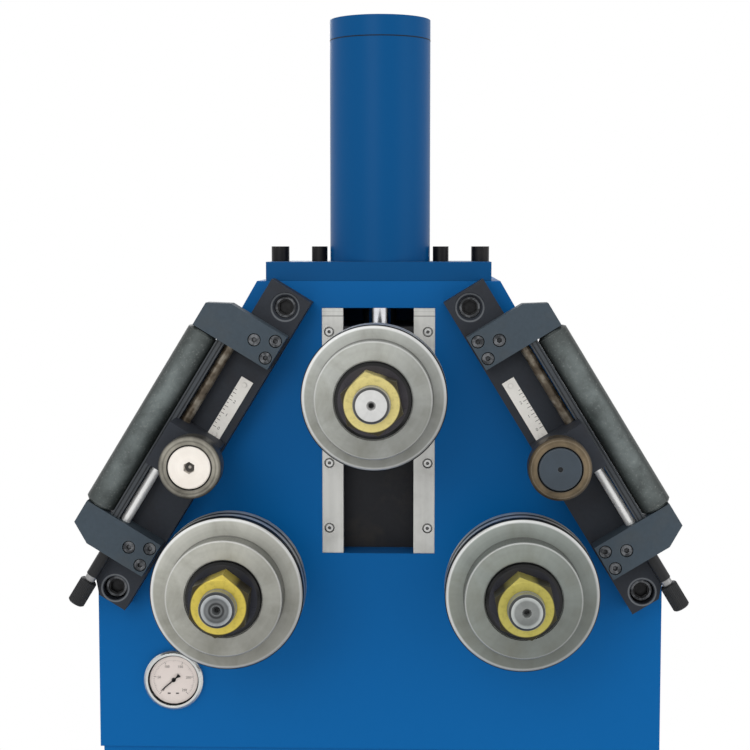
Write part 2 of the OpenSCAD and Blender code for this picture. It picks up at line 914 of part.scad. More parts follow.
// Two columns of vent slots in a rear sheet
module vents() {
  for (side = [-1, 1])
    for (row = [0:vent_rows - 1])
      translate([side * (vent_side + vent_w / 2) - vent_w / 2, -over, row * vent_pitch])
        cube([vent_w, cover_sheet_t + 2 * over, vent_h]);
}

module gib_strips() color("lightgray") {
  strip_h = slot_h - gib_filler_h;
  for (side = [-1, 1])
    difference() {
      union() {
        gib_bar(side, slot_z, strip_h);
        gib_bar(side, slot_z + strip_h, gib_filler_h);
      }
      gib_screw_places(side) {
        y_bar(gib_screw_bore, front_y, front_y + gib_recess + gib_screw_h + near_gap);
        y_bar(gib_screw_shank + 2 * near_gap, front_y, gib_back_y + over);
      }
    }
}

module gib_bar(side, z, h) {
  x = side < 0 ? -slot_w / 2 : slot_w / 2 - gib_w;
  translate([x, front_y + gib_recess, z]) cube([gib_w, gib_t, h]);
}

module wear_plates() color("tan") {
  low = shaft_z + wear_low;
  for (side = [-1, 1])
    translate([side < 0 ? -throat_w / 2 - wear_t : throat_w / 2, plate_back_y, low])
      cube([wear_t, inner_y - plate_back_y, head_top_z - top_plate_t - low]);
}

module shaft_covers() color("dimgray") {
  for (side = [-1, 1])
    at_shaft(side * lower_span / 2, shaft_z)
      difference() {
        union() {
          y_bar(cover_d, front_y - cover_t, front_y);
          y_bar(bearing_d - 2 * run_gap, front_y - over, front_y + cover_spigot);
        }
        y_bar(shoulder_d + 2 * seal_gap, front_y - cover_t - over,
           front_y + cover_spigot + over);
        for (a = [45:90:315])
          rotate([0, a, 0])
            translate([cover_d / 2 - cover_screw_inset, 0, 0])
              y_bar(cover_screw_shank + 2 * near_gap, front_y - cover_t - over,
                 front_y + over);
      }
}

module frame_bearings() color("silver") {
  for (side = [-1, 1])
    at_shaft(side * lower_span / 2, shaft_z) {
      bearing(shaft_d, bearing_d, bearing_w, front_y + front_seat_y);
      bearing(shaft_d, bearing_d, bearing_w, inner_back_y - bearing_w);
    }
  at_pinion()
    bearing(drive_shaft_d, drive_bearing_d, drive_bearing_w,
        inner_back_y - drive_bearing_w);
}

// A socket screw along Y: the head's front face at y_from
module socket_screw(head_d, head_h, shank_d, y_from, shank_len, hex_share = socket_share) {
  difference() {
    union() {
      y_bar(head_d, y_from, y_from + head_h);
      y_bar(shank_d, y_from + head_h - over, y_from + head_h + shank_len);
    }
    translate([0, y_from - over, 0])
      rotate([-90, 0, 0])
        cylinder(h = head_h * socket_share + over, d = head_d * hex_share, $fn = 6);
  }
}

module plate_screws() color("dimgray") {
  for (side = [-1, 1]) {
    gib_screw_places(side)
      socket_screw(gib_screw_d, gib_screw_h, gib_screw_shank, front_y + gib_recess,
             gib_t - gib_screw_h + gib_screw_len - near_gap);
    at_shaft(side * lower_span / 2, shaft_z)
      for (a = [45:90:315])
        rotate([0, a, 0])
          translate([cover_d / 2 - cover_screw_inset, 0, 0])
            socket_screw(cover_screw_d, cover_screw_h, cover_screw_shank,
                   front_y - cover_t - cover_screw_h,
                   cover_t + cover_screw_len);
  }
  cover_places() panel_screw(back_y + cover_sheet_t);
  panel_places() panel_screw(cabinet_d / 2 + cover_sheet_t);
  head_screw_places()
    translate([0, 0, cabinet_h - foot_t])
      union() {
        cylinder(h = foot_t + foot_flange_t + over, d = head_screw_shank);
        translate([0, 0, foot_t + foot_flange_t])
          cylinder(h = head_screw_h, d = head_screw_d / cos(30), $fn = 6);
      }
}

// A pan head screw from behind, its seat at y_seat
module panel_screw(y_seat) {
  y_bar(panel_screw_shank, y_seat - panel_screw_len, y_seat + over);
  translate([0, y_seat, 0])
    turned([
      [0, 0], [panel_screw_d / 2, 0], [panel_screw_d / 2, panel_screw_h / 2],
      [panel_screw_d / 2 - panel_screw_h / 2, panel_screw_h], [0, panel_screw_h]
    ]);
}

// The press: cylinder, rod and slide

module cylinder_barrel() color("steelblue") {
  difference() {
    union() {
      translate([-flange_w / 2, cylinder_y - flange_d / 2, head_top_z])
        cube([flange_w, flange_d, flange_t]);
      translate([0, cylinder_y, flange_top_z])
        cylinder(h = tube_h - cap_h, d = tube_d);
      for (p = ports)
        translate([p[0], cylinder_y, p[1]])
          y_bar(port_d, 0, tube_d / 2 + port_len);
    }
    translate([0, cylinder_y, gland_z + gland_h])
      cylinder(h = tube_top_z - gland_z, d = tube_bore);
    translate([0, cylinder_y, head_top_z - over])
      cylinder(h = gland_h + 2 * over, d = rod_d + 2 * gland_wall);
    for (p = ports)
      translate([p[0], cylinder_y, p[1]])
        y_bar(pipe_d - near_gap, tube_bore / 4, tube_d / 2 + port_len + over);
    for (x = flange_screw_xs)
      translate([x, cylinder_y, head_top_z - over])
        cylinder(h = flange_t + 2 * over, d = flange_screw_shank + 2 * near_gap);
  }
}

// Sideways place and height of the two oil ports
ports = [
  [-port_side, tube_top_z - port_top_drop], [-port_side, flange_top_z + port_low_rise]
];

module cylinder_cap() color("steelblue") {
  translate([0, cylinder_y, tube_top_z - cap_h])
    union() {
      cylinder(h = cap_h, d = tube_d);
      translate([0, 0, -cap_spigot])
        cylinder(h = cap_spigot + over, d = tube_bore - 2 * run_gap);
    }
}

module rod_gland() color("goldenrod") {
  translate([0, cylinder_y, gland_z])
    difference() {
      cylinder(h = gland_h, d = rod_d + 2 * gland_wall - 2 * run_gap);
      translate([0, 0, -over]) cylinder(h = gland_h + 2 * over, d = rod_d + 2 * run_gap);
    }
}

module flange_screws() color("black") {
  for (x = flange_screw_xs) {
    head = abs(x) > (outer_screw_span + inner_screw_span) / 4 ? outer_screw_d : inner_screw_d;
    translate([x, cylinder_y, flange_top_z])
      difference() {
        union() {
          cylinder(h = flange_screw_h, d = head);
          translate([0, 0, -flange_t - flange_screw_grip])
            cylinder(h = flange_t + flange_screw_grip + over, d = flange_screw_shank);
        }
        translate([0, 0, flange_screw_h * socket_share])
          cylinder(h = flange_screw_h, d = head * socket_share, $fn = 6);
      }
  }
}

module piston_rod() color("gainsboro") {
  rod_low = slide_top_z - rod_thread_len;
  translate([0, cylinder_y, 0])
    union() {
      translate([0, 0, piston_z])
        cylinder(h = piston_h, d = tube_bore - 2 * run_gap);
      translate([0, 0, slide_top_z])
        cylinder(h = piston_z + piston_h / 2 - slide_top_z, d = rod_d);
      translate([0, 0, rod_low])
        cylinder(h = rod_thread_len + over, d = rod_thread_d);
    }
}

module slide_block() color("dimgray") {
  difference() {
    union() {
      translate([-slide_w / 2, gib_back_y + slide_gap, slide_z])
        cube([slide_w, slide_back_y - gib_back_y - slide_gap, slide_h]);
      translate([-tongue_w / 2, front_y + tongue_recess, slide_z])
        cube([tongue_w, gib_back_y + slide_gap - front_y, slide_h]);
    }
    at_upper() {
      y_bar(bearing_d, slide_seat_y, slide_back_y + over);
      y_bar(shoulder_d + 2 * seal_gap, front_y, slide_seat_y + over);
    }
    translate([0, cylinder_y, slide_top_z - rod_thread_len - near_gap])
      cylinder(h = rod_thread_len + near_gap + over, d = rod_thread_d + 2 * run_gap);
  }
  // Cover sheet that hangs below the block and closes the slot
  translate([-slide_w / 2, plate_back_y + apron_gap, slot_z - apron_under])
    cube([slide_w, apron_t, slide_z - slot_z + apron_under]);
}

module slide_bearings() color("silver") {
  at_upper() {
    bearing(shaft_d, bearing_d, bearing_w, slide_seat_y);
    bearing(shaft_d, bearing_d, bearing_w, slide_back_y - bearing_w);
  }
}

// The spindles

module upper_shaft() color("silver") {
  at_upper()
    roll_shaft(slide_back_y + shaft_tail, slide_seat_y + bearing_w,
          slide_back_y - bearing_w);
}

module upper_rolls() color("darkgray") { at_upper() roll_set(upper_roll_d); }
module upper_collar() color("black") {
  at_upper() collar_set(front_y + tongue_recess - spacer_gap, slide_seat_y);
}
module upper_nut() color("gold") { at_upper() shaft_nut(102); }

module lower_shaft() {
  roll_shaft(inner_back_y + shaft_tail, front_y + front_seat_y + bearing_w, gear_y);
}

module lower_collar() {
  collar_set(front_y - cover_t - spacer_gap, front_y + front_seat_y);
}

module left_shaft() color("silver") { at_left() lower_shaft(); }
module left_rolls() color("darkgray") { at_left() roll_set(lower_roll_d); }
module left_collar() color("black") { at_left() lower_collar(); }
module left_nut() color("gold") { at_left() shaft_nut(83); }
module left_gear() color("slategray") { at_left() shaft_gear(left_gear_turn); }

module right_shaft() color("silver") { at_right() lower_shaft(); }
module right_rolls() color("darkgray") { at_right() roll_set(lower_roll_d); }
module right_collar() color("black") { at_right() lower_collar(); }
module right_nut() color("gold") { at_right() shaft_nut(101); }
module right_gear() color("slategray") { at_right() shaft_gear(right_gear_turn); }

module drive_pinion() color("slategray") {
  at_pinion()
    union() {
      teeth_y(pinion_teeth, pinion_turn, gear_y - pinion_extra / 2,
          gear_back_y + pinion_extra / 2);
      y_bar(drive_shaft_d, gear_y - pinion_extra, inner_back_y + gearbox_d + drive_tail);
      y_bar(drive_shaft_d + 2 * pinion_shoulder, gear_back_y,
         inner_back_y - drive_bearing_w);
    }
}

// Drive

module gearbox() color("gray") {
  difference() {
    union() {
      at_pinion() y_bar(gearbox_ring_d, inner_back_y, inner_back_y + gearbox_ring_t);
      translate([-gearbox_w / 2, inner_back_y + gearbox_ring_t, pinion_z - gearbox_drop])
        cube([gearbox_w, gearbox_d - gearbox_ring_t, gearbox_h]);
      // Housing of the worm, over the motor
      translate([worm_offset, inner_back_y + gearbox_d / 2 + gearbox_ring_t / 2,
            pinion_z - gearbox_drop])
        cylinder(h = gearbox_h, d = gearbox_d - 2 * gearbox_ring_t);
    }
    at_pinion()
      y_bar(drive_shaft_d + 2 * run_gap, inner_back_y - over,
         inner_back_y + gearbox_d + over);
  }
}

module gear_motor() color("gray") {
  top = pinion_z - gearbox_drop;
  body_h = motor_len - motor_bell_h - cowl_h;
  translate([worm_offset, inner_back_y + gearbox_d / 2 + gearbox_ring_t / 2, 0]) {
    union() {
      translate([0, 0, top - motor_bell_h]) cylinder(h = motor_bell_h, d = motor_bell_d);
      translate([0, 0, top - motor_bell_h - body_h])
        linear_extrude(body_h) polygon(fin_points(motor_d / 2, fin_count));
      translate([motor_d / 2 - fin_h - over, -junction_w / 2, top - motor_bell_h - body_h / 2])
        cube([junction_d + over, junction_w, junction_h]);
    }
    translate([0, 0, top - motor_len]) cylinder(h = cowl_h, d = motor_d + 2 * cowl_lip);
  }
}

// Outline of a finned motor body
function fin_points(r, count) =
  [for (i = [0:count - 1])
    let (a = 360 * i / count, step = 360 / count)
    each [polar(r - fin_h, a), polar(r - fin_h, a + step * fin_shares[0]),
       polar(r, a + step * fin_shares[1]), polar(r, a + step * fin_shares[2])]];

// Side brackets

module bracket_bases() color("darkslategray") {
  outline = [
    [-base_in, -base_low], [base_out - base_cut_w, -base_low],
    [base_out, -base_low + base_cut_h], [base_out, base_len - base_low],
    [-base_in, base_len - base_low]
  ];
  for (side = [-1, 1])
    on_bracket(side)
      difference() {
        xz_plate(outline, base_y, front_y);
        for (u = [big_screw_low, big_screw_high])
          translate([0, 0, u])
            y_bar(big_screw_shank + 2 * near_gap, base_y - over, front_y + over);
        translate([0, 0, big_screw_low])
          y_bar(big_screw_bore, base_y - over, base_y + big_screw_sink);
        translate([0, 0, big_screw_high]) {
          y_bar(top_screw_bore, base_y - over, base_y + big_screw_sink);
          turned([
            [0, base_y - over], [top_screw_bore / 2 + top_screw_chamfer + over,
            base_y - over], [top_screw_bore / 2, base_y + top_screw_chamfer],
            [0, base_y + top_screw_chamfer]
          ]);
        }
        small_screw_places()
          y_bar(small_screw_shank + 2 * run_gap, base_y - over,
             base_y + small_screw_grip + near_gap);
        scale_screw_places()
          y_bar(scale_screw_shank + 2 * run_gap, base_y - over,
             base_y + scale_screw_len);
      }
}

module small_screw_places() {
  for (low = [end_low, end_high])
    translate([0, 0, low + end_plate_h / 2]) {
      for (i = [-1, 1])
        translate([-small_screw_in, 0, i * small_screw_pitch / 2]) children();
      translate([small_screw_out, 0, 0]) children();
    }
}

module scale_screw_places() {
  for (u = [scale_low + scale_screw_inset, scale_high - scale_screw_inset])
    translate([-scale_screw_side, 0, u]) children();
}

module end_plates() color("slategray") {
  for (side = [-1, 1])
    on_bracket(side) {
      end_plate(end_low, true);
      end_plate(end_high, false);
    }
}

// An end plate at a place along the bar, its chamfer below or above
module end_plate(low, chamfer_below) {
  high = low + end_plate_h;
  near_u = chamfer_below ? low : high;
  far_u = chamfer_below ? high : low;
  step = chamfer_below ? end_chamfer_h : -end_chamfer_h;
  outline = [
    [-end_in, near_u], [end_out - end_chamfer_w, near_u], [end_out, near_u + step],
    [end_out, far_u], [-end_in, far_u]
  ];
  difference() {
    xz_plate(outline, end_y, base_y);
    small_screw_places() {
      y_bar(small_screw_shank + 2 * near_gap, end_y - over, base_y + over);
      y_bar(small_screw_bore, end_y - over, end_y + small_screw_sink);
    }
    // Blind bore of the support roller's journal
    translate([roller_out, axis_y, chamfer_below ? high - roller_pin_len - near_gap
                           : low - over])
      cylinder(h = roller_pin_len + near_gap + over, d = roller_pin_d + 2 * run_gap);
    // Bore of the lead screw, stepped in the lower plate
    if (chamfer_below) {
      translate([lead_out, axis_y, low - over])
        cylinder(h = end_plate_h + 2 * over, d = lead_stem_d + 2 * run_gap);
      translate([lead_out, axis_y, low + lead_step])
        cylinder(h = end_plate_h, d = lead_d + 2 * run_gap);
    } else {
      translate([lead_out, axis_y, low - over])
        cylinder(h = lead_high + near_gap + over, d = lead_d + 2 * run_gap);
    }
  }
}

module guide_rails() color("dimgray") {
  low = end_low + end_plate_h;
  for (side = [-1, 1])
    on_bracket(side)
      difference() {
        translate([rail_out - rail_w / 2, axis_y - rail_d / 2, low])
          cube([rail_w, rail_d, end_high - low]);
        for (i = [-1, 1])
          translate([rail_out + i * rail_w / 4 - rail_groove / 2,
                axis_y - rail_d / 2 - over, low - over])
            cube([rail_groove, rail_groove_depth + over, end_high - low + 2 * over]);
      }
}

module bracket_screws() color("black") {
  for (side = [-1, 1])
    on_bracket(side) {
      big_y = base_y + big_screw_sink - big_screw_h;
      for (u = [big_screw_low, big_screw_high])
        translate([0, 0, u])
          difference() {
            socket_screw(big_screw_d, big_screw_h, big_screw_shank, big_y,
                   base_t - big_screw_sink + big_screw_grip, big_socket_share);
            y_bar(big_screw_d * big_rim_share, big_y - over, big_y + big_rim_depth);
          }
      small_screw_places()
        socket_screw(small_screw_d, small_screw_h, small_screw_shank,
               end_y + small_screw_sink - small_screw_h,
               end_plate_t - small_screw_sink + small_screw_grip);
    }
}

module scale_strips() color("beige") {
  for (side = [-1, 1])
    on_bracket(side) {
      difference() {
        translate([-scale_in, base_y - scale_t, scale_low])
          cube([scale_in + scale_out, scale_t, scale_high - scale_low]);
        scale_screw_places()
          y_bar(scale_screw_shank + 2 * near_gap, base_y - scale_t - over, base_y + over);
      }
      scale_screw_places()
        union() {
          y_bar(scale_screw_d, base_y - scale_t - scale_screw_t, base_y - scale_t);
          y_bar(scale_screw_shank, base_y - scale_t - scale_screw_t / 2,
             base_y + scale_screw_len - near_gap);
        }
    }
}

// Carriage with its rebate for the rail, its nut bore and the disc's boss
module carriage() {
  low = carriage_at - carriage_h / 2;
  difference() {
    union() {
      translate([-carriage_in, carriage_y, low])
        cube([carriage_in + carriage_out, carriage_t, carriage_h]);
      translate([-disc_in, 0, carriage_at])
        y_bar(disc_boss_d, disc_back_face_y, carriage_y + over);
    }
    translate([rail_out - rail_w / 2 - near_gap, axis_y - rail_d / 2 - near_gap, low - over])
      cube([rail_w + carriage_out, rail_d + carriage_t, carriage_h + 2 * over]);
    translate([lead_out, axis_y, low - over])
      cylinder(h = carriage_h + 2 * over, d = lead_d + 2 * run_gap);
    translate([-disc_in, 0, carriage_at])
      y_bar(pivot_thread_d + 2 * run_gap, disc_back_face_y - over,
         disc_back_face_y + pivot_len + near_gap);
  }
}

module lead_screw() {
  low = end_low + lead_step + near_gap;
  high = end_high + lead_high;
  translate([lead_out, axis_y, 0])
    union() {
      translate([0, 0, low]) cylinder(h = high - low, d = lead_d);
      translate([0, 0, end_low - stem_len - knob_len / 2])
        cylinder(h = low - end_low + stem_len + knob_len / 2 + over, d = lead_stem_d);
    }
}

// Knurled knob on the lower end of the lead screw, with its neck and its sleeve
module knob() {
  high = end_low - stem_len;
  low = high - knob_len;
  r = knob_d / 2;
  translate([lead_out, axis_y, 0])
    difference() {
      union() {
        intersection() {
          translate([0, 0, low]) linear_extrude(knob_len) polygon(knob_points(r));
          rotate_extrude()
            polygon([
              [0, low], [r - knob_edge, low], [r + over, low + knob_edge + over],
              [r + over, high - knob_edge - over], [r - knob_edge, high], [0, high]
            ]);
        }
        translate([0, 0, high - over])
          cylinder(h = knob_neck_len + 2 * over, d = knob_neck_d);
        translate([0, 0, high + knob_neck_len])
          cylinder(h = stem_len - knob_neck_len - near_gap, d = knob_sleeve_d);
      }
      translate([0, 0, high - knob_len / 2])
        cylinder(h = knob_len / 2 + stem_len, d = lead_stem_d + 2 * run_gap);
    }
}

function knob_points(r) =
  [for (i = [0:knob_ridges - 1])
    let (a = 360 * i / knob_ridges, step = 360 / knob_ridges)
    each [polar(r - knob_ridge_h, a), polar(r, a + step / 2)]];

module guide_disc() {
  r = disc_d / 2;
  recess_r = disc_recess_d / 2;
  bore = pivot_d / 2 + run_gap;
  translate([-disc_in, 0, carriage_at])
    turned([
      [bore, disc_y + disc_recess_t], [recess_r, disc_y + disc_recess_t],
      [recess_r, disc_y], [r - disc_edge, disc_y], [r, disc_y + disc_edge],
      [r, disc_back_face_y - near_gap - disc_edge],
      [r - disc_edge, disc_back_face_y - near_gap],
      [bore, disc_back_face_y - near_gap]
    ]);
}

// Shoulder bolt whose wide head caps the guide disc
module disc_cap(mark_d, mark_depth, sides) {
  r = cap_d / 2;
  front = disc_y - cap_proud;
  seat = disc_y + disc_recess_t - near_gap;
  translate([-disc_in, 0, carriage_at])
    difference() {
      union() {
        turned([
          [0, front], [r - cap_edge, front], [r, front + cap_edge], [r, seat],
          [pivot_d / 2, seat], [pivot_d / 2, disc_back_face_y], [0, disc_back_face_y]
        ]);
        y_bar(pivot_thread_d, disc_back_face_y - over, disc_back_face_y + pivot_len);
      }
      translate([0, front - over, 0])
        rotate([-90, 0, 0]) cylinder(h = mark_depth + over, d = mark_d, $fn = sides);
    }
}

module support_roller() {
  low = end_low + end_plate_h + roller_end_gap;
  high = end_high - roller_end_gap;
  r = roller_d / 2;
  pin = roller_pin_d / 2;
  pin_out = roller_pin_len - near_gap;
  translate([roller_out, axis_y, 0])
    rotate_extrude()
      polygon([
        [0, low - roller_end_gap - pin_out], [pin, low - roller_end_gap - pin_out],
        [pin, low], [r - roller_chamfer, low], [r, low + roller_chamfer],
        [r, high - roller_chamfer], [r - roller_chamfer, high], [pin, high],
        [pin, high + roller_end_gap + pin_out], [0, high + roller_end_gap + pin_out]
      ]);
}

module left_carriage() color("darkslategray") { on_bracket(-1) carriage(); }
module left_lead_screw() color("silver") { on_bracket(-1) lead_screw(); }
module left_knob() color("black") { on_bracket(-1) knob(); }
module left_guide_disc() color("gray") { on_bracket(-1) guide_disc(); }
module left_disc_cap() color("ivory") { on_bracket(-1) disc_cap(socket_d, socket_depth, 6); }
module left_support_roller() color("darkslategray") { on_bracket(-1) support_roller(); }

module right_carriage() color("darkslategray") { on_bracket(1) carriage(); }
module right_lead_screw() color("silver") { on_bracket(1) lead_screw(); }
module right_knob() color("black") { on_bracket(1) knob(); }
module right_guide_disc() color("gray") { on_bracket(1) guide_disc(); }
module right_disc_cap() color("slategray") { on_bracket(1) disc_cap(dimple_d, dimple_depth, 48); }
module right_support_roller() color("darkslategray") { on_bracket(1) support_roller(); }

// Pressure gauge

module at_gauge() { at_shaft(-gauge_x, gauge_z) children(); }

module gauge_case() color("silver") {
  face_y = front_y - bezel_t + dial_depth;
  lip = (gauge_d - gauge_window_d) / 4;
  at_gauge()
    difference() {
      union() {
        turned([
          [0, front_y - bezel_t], [gauge_d / 2 - lip, front_y - bezel_t],
          [gauge_d / 2, front_y - bezel_t + lip], [gauge_d / 2, front_y],
          [gauge_body_d / 2, front_y], [gauge_body_d / 2, front_y + gauge_body_len],
          [0, front_y + gauge_body_len]
        ]);
        y_bar(gauge_stem_d, front_y + gauge_body_len - over,
           front_y + gauge_body_len + gauge_stem_len);
      }
      y_bar(gauge_window_d, front_y - bezel_t - over, face_y);
      y_bar(needle_pin_d + 2 * run_gap, face_y - over, face_y + needle_pin_len + near_gap);
    }
}

module gauge_glass() color([0.9, 0.95, 1, 0.4]) {
  at_gauge()
    y_bar(gauge_window_d - 2 * run_gap, front_y - bezel_t + glass_inset,
       front_y - bezel_t + glass_inset + glass_t);
}

module gauge_needle() color("black") {
  face_y = front_y - bezel_t + dial_depth;
  at_gauge()
    union() {
      translate([0, face_y - needle_lift - needle_t, 0])
        rotate([0, -needle_rest_a, 0])
          xz_plate([
            [-needle_tail, -needle_w], [-needle_tail / 2, -needle_w / 4],
            [needle_len * needle_taper_share, -needle_w / 4], [needle_len, 0],
            [needle_len * needle_taper_share, needle_w / 4],
            [-needle_tail / 2, needle_w / 4],
            [-needle_tail, needle_w]
          ], 0, needle_t);
      y_bar(needle_hub_d, face_y - needle_lift - needle_t, face_y - near_gap);
      y_bar(needle_pin_d, face_y - near_gap - needle_t, face_y + needle_pin_len);
    }
}

// Cabinet

module panel_places() {
  low = pan_h + panel_rim_w / 2;
  high = cabinet_h - foot_t - panel_rim_w / 2;
  side = cabinet_w / 2 - sheet_t - panel_rim_w / 2 - panel_screw_inset;
  for (x = [-side, side])
    for (z = [low, (low + high) / 2, high])
      translate([x, 0, z]) children();
}

module cabinet_shell() color("royalblue") {
  half_w = cabinet_w / 2;
  half_d = cabinet_d / 2;
  difference() {
    translate([-half_w, -half_d, 0]) cube([cabinet_w, cabinet_d, cabinet_h]);
    translate([-half_w + sheet_t, -half_d + sheet_t, pan_h + sheet_t])
      cube([cabinet_w - 2 * sheet_t, cabinet_d - 2 * sheet_t,
         cabinet_h - foot_t - pan_h - sheet_t]);
    translate([-half_w + sheet_t, -half_d + sheet_t, foot_t])
      cube([cabinet_w - 2 * sheet_t, cabinet_d - 2 * sheet_t, pan_h - foot_t]);
    translate([-half_w + foot_w, -half_d + foot_w, -over])
      cube([cabinet_w - 2 * foot_w, cabinet_d - 2 * foot_w, foot_t + 2 * over]);
    translate([-half_w + top_rim_w, -half_d + top_rim_w, cabinet_h - foot_t - over])
      cube([cabinet_w - 2 * top_rim_w, cabinet_d - 2 * top_rim_w, foot_t + 2 * over]);
    // Opening behind the rear panel
    translate([-half_w + sheet_t + panel_rim_w, half_d - sheet_t - over,
          pan_h + panel_rim_w])
      cube([cabinet_w - 2 * sheet_t - 2 * panel_rim_w, sheet_t + 2 * over,
         cabinet_h - foot_t - pan_h - 2 * panel_rim_w]);
    for (x = [-1, 1])
      for (y = [-1, 1])
        translate([x * anchor_x / 2, y * anchor_y / 2, -over])
          cylinder(h = foot_t + 2 * over, d = anchor_d);
    head_screw_places()
      translate([0, 0, cabinet_h - foot_t - over])
        cylinder(h = foot_t + 2 * over, d = head_screw_shank + 2 * run_gap);
    panel_places()
      y_bar(panel_screw_shank + 2 * run_gap, half_d - sheet_t - over, half_d + over);
    // Holes of the main switch and of the cable gland in the right wall
    translate([half_w - sheet_t - over, switch_y, switch_z])
      rotate([0, 90, 0]) cylinder(h = sheet_t + 2 * over, d = switch_shaft_d + 2 * seal_gap);
    translate([half_w - sheet_t - over, gland_y, gland_height])
      rotate([0, 90, 0]) cylinder(h = sheet_t + 2 * over, d = gland_hole_d + 2 * near_gap);
  }
}

module rear_panel() color("royalblue") {
  half_d = cabinet_d / 2;
  width = cabinet_w - 2 * sheet_t - 2 * panel_screw_inset;
  difference() {
    translate([-width / 2, half_d, pan_h])
      cube([width, cover_sheet_t, cabinet_h - foot_t - pan_h]);
    translate([0, half_d, pan_h + 2 * vent_pitch * vent_rows]) vents();
    panel_places()
      y_bar(panel_screw_shank + 2 * near_gap, half_d - over, half_d + cover_sheet_t + over);
  }
}

// Hydraulics and electrics

module oil_tank() color("gray") {
  floor_z = pan_h + sheet_t;
  translate([tank_x - tank_w / 2, tank_y - tank_d / 2, floor_z])
    cube([tank_w, tank_d, tank_h]);
  translate([filler_x, tank_y - tank_d / 4, floor_z + tank_h])
    rotate_extrude()
      polygon([
        [0, 0], [filler_d / 2, 0], [filler_d / 2, filler_h - filler_edge],
        [filler_d / 2 - filler_edge, filler_h], [0, filler_h]
      ]);
}

module pump_unit() color("dimgray") {
  top = pan_h + sheet_t + tank_h;
  translate([pump_x, tank_y, top])
    union() {
      cylinder(h = pump_foot_h + over, d = pump_foot_d);
      translate([0, 0, pump_foot_h])
        linear_extrude(pump_h - pump_foot_h) polygon(fin_points(pump_d / 2, fin_count));
    }
  translate([pipe_x - block_w / 2, tank_y - block_d / 2, top]) {
    cube([block_w, block_d, block_h]);
    for (i = [-1, 1])
      translate([block_w / 2 + i * block_w / 4, block_d, block_h / 2])
        rotate([-90, 0, 0]) cylinder(h = coil_len, d = coil_d);
  }
}

// A pipe from a port at the back of the cylinder: back, down into the head, to the left, down
module port_pipe(x, y_start, z_start, x_end, y_end, z_end, d) {
  run_z = head_top_z - pipe_run_drop;
  translate([x, 0, z_start]) y_bar(d, y_start, y_end - pipe_bend);
  translate([x, y_end - pipe_bend, z_start - pipe_bend])
    rotate([90, 0, 90])
      rotate_extrude(angle = 90) translate([pipe_bend, 0]) circle(d = d);
  translate([x, y_end, run_z + pipe_bend]) cylinder(h = z_start - run_z - 2 * pipe_bend, d = d);
  translate([x - pipe_bend, y_end, run_z + pipe_bend])
    rotate([90, 0, 0]) rotate([0, 0, 270])
      rotate_extrude(angle = 90) translate([pipe_bend, 0]) circle(d = d);
  translate([x_end + pipe_bend, y_end, run_z])
    rotate([0, 90, 0]) cylinder(h = x - x_end - 2 * pipe_bend, d = d);
  translate([x_end + pipe_bend, y_end, run_z - pipe_bend])
    rotate([90, 0, 0]) rotate([0, 0, 90])
      rotate_extrude(angle = 90) translate([pipe_bend, 0]) circle(d = d);
  translate([x_end, y_end, z_end]) cylinder(h = run_z - pipe_bend - z_end, d = d);
}

module oil_pipes() color("silver") {
  block_top = pan_h + sheet_t + tank_h + block_h;
  for (i = [0, 1])
    union() port_pipe(ports[i][0], cylinder_y + tube_d / 2 + port_len, ports[i][1], pipe_x,
             i == 0 ? pipe_top_y : pipe_low_y, block_top, pipe_d);
  // Gauge pipe: back from the gauge, down, and across to the valve block
  gauge_end_y = front_y + gauge_body_len + gauge_stem_len;
  block_mid_z = block_top - block_h / 2;
  d = gauge_pipe_d;
  union() {
    translate([-gauge_x, 0, gauge_z]) y_bar(d, gauge_end_y, gauge_pipe_y - pipe_bend);
    translate([-gauge_x, gauge_pipe_y - pipe_bend, gauge_z - pipe_bend])
      rotate([90, 0, 90])
        rotate_extrude(angle = 90) translate([pipe_bend, 0]) circle(d = d);
    translate([-gauge_x, gauge_pipe_y, block_mid_z + pipe_bend])
      cylinder(h = gauge_z - block_mid_z - 2 * pipe_bend, d = d);
    translate([-gauge_x + pipe_bend, gauge_pipe_y, block_mid_z + pipe_bend])
      rotate([90, 0, 0]) rotate([0, 0, 180])
        rotate_extrude(angle = 90) translate([pipe_bend, 0]) circle(d = d);
    translate([-gauge_x + pipe_bend, gauge_pipe_y, block_mid_z])
      rotate([0, 90, 0])
        cylinder(h = gauge_x + pipe_x - block_w / 2 - pipe_bend, d = d);
  }
}

module electric_box() color("lightgray") {
  wall_x = cabinet_w / 2 - sheet_t;
  difference() {
    translate([wall_x - box_w, box_y - box_d / 2, box_z]) cube([box_w, box_d, box_h]);
    translate([wall_x - box_w / 2, switch_y, switch_z])
      rotate([0, 90, 0]) cylinder(h = box_w, d = switch_shaft_d + 2 * run_gap);
  }
  // Switch plate on the outside of the wall
  difference() {
    translate([cabinet_w / 2, switch_y - switch_w / 2, switch_z - switch_w / 2])
      cube([switch_t, switch_w, switch_w]);
    translate([wall_x, switch_y, switch_z])
      rotate([0, 90, 0]) cylinder(h = switch_w, d = switch_shaft_d + 2 * run_gap);
  }
  // Cable gland
  translate([wall_x - gland_len / 2, gland_y, gland_height])
    rotate([0, 90, 0])
      union() {
        cylinder(h = gland_len + sheet_t, d = gland_hole_d);
        translate([0, 0, gland_len / 2 + sheet_t])
          cylinder(h = gland_len / 3, d = gland_d / cos(30), $fn = 6);
        cylinder(h = gland_len / 2, d = gland_d);
      }
}

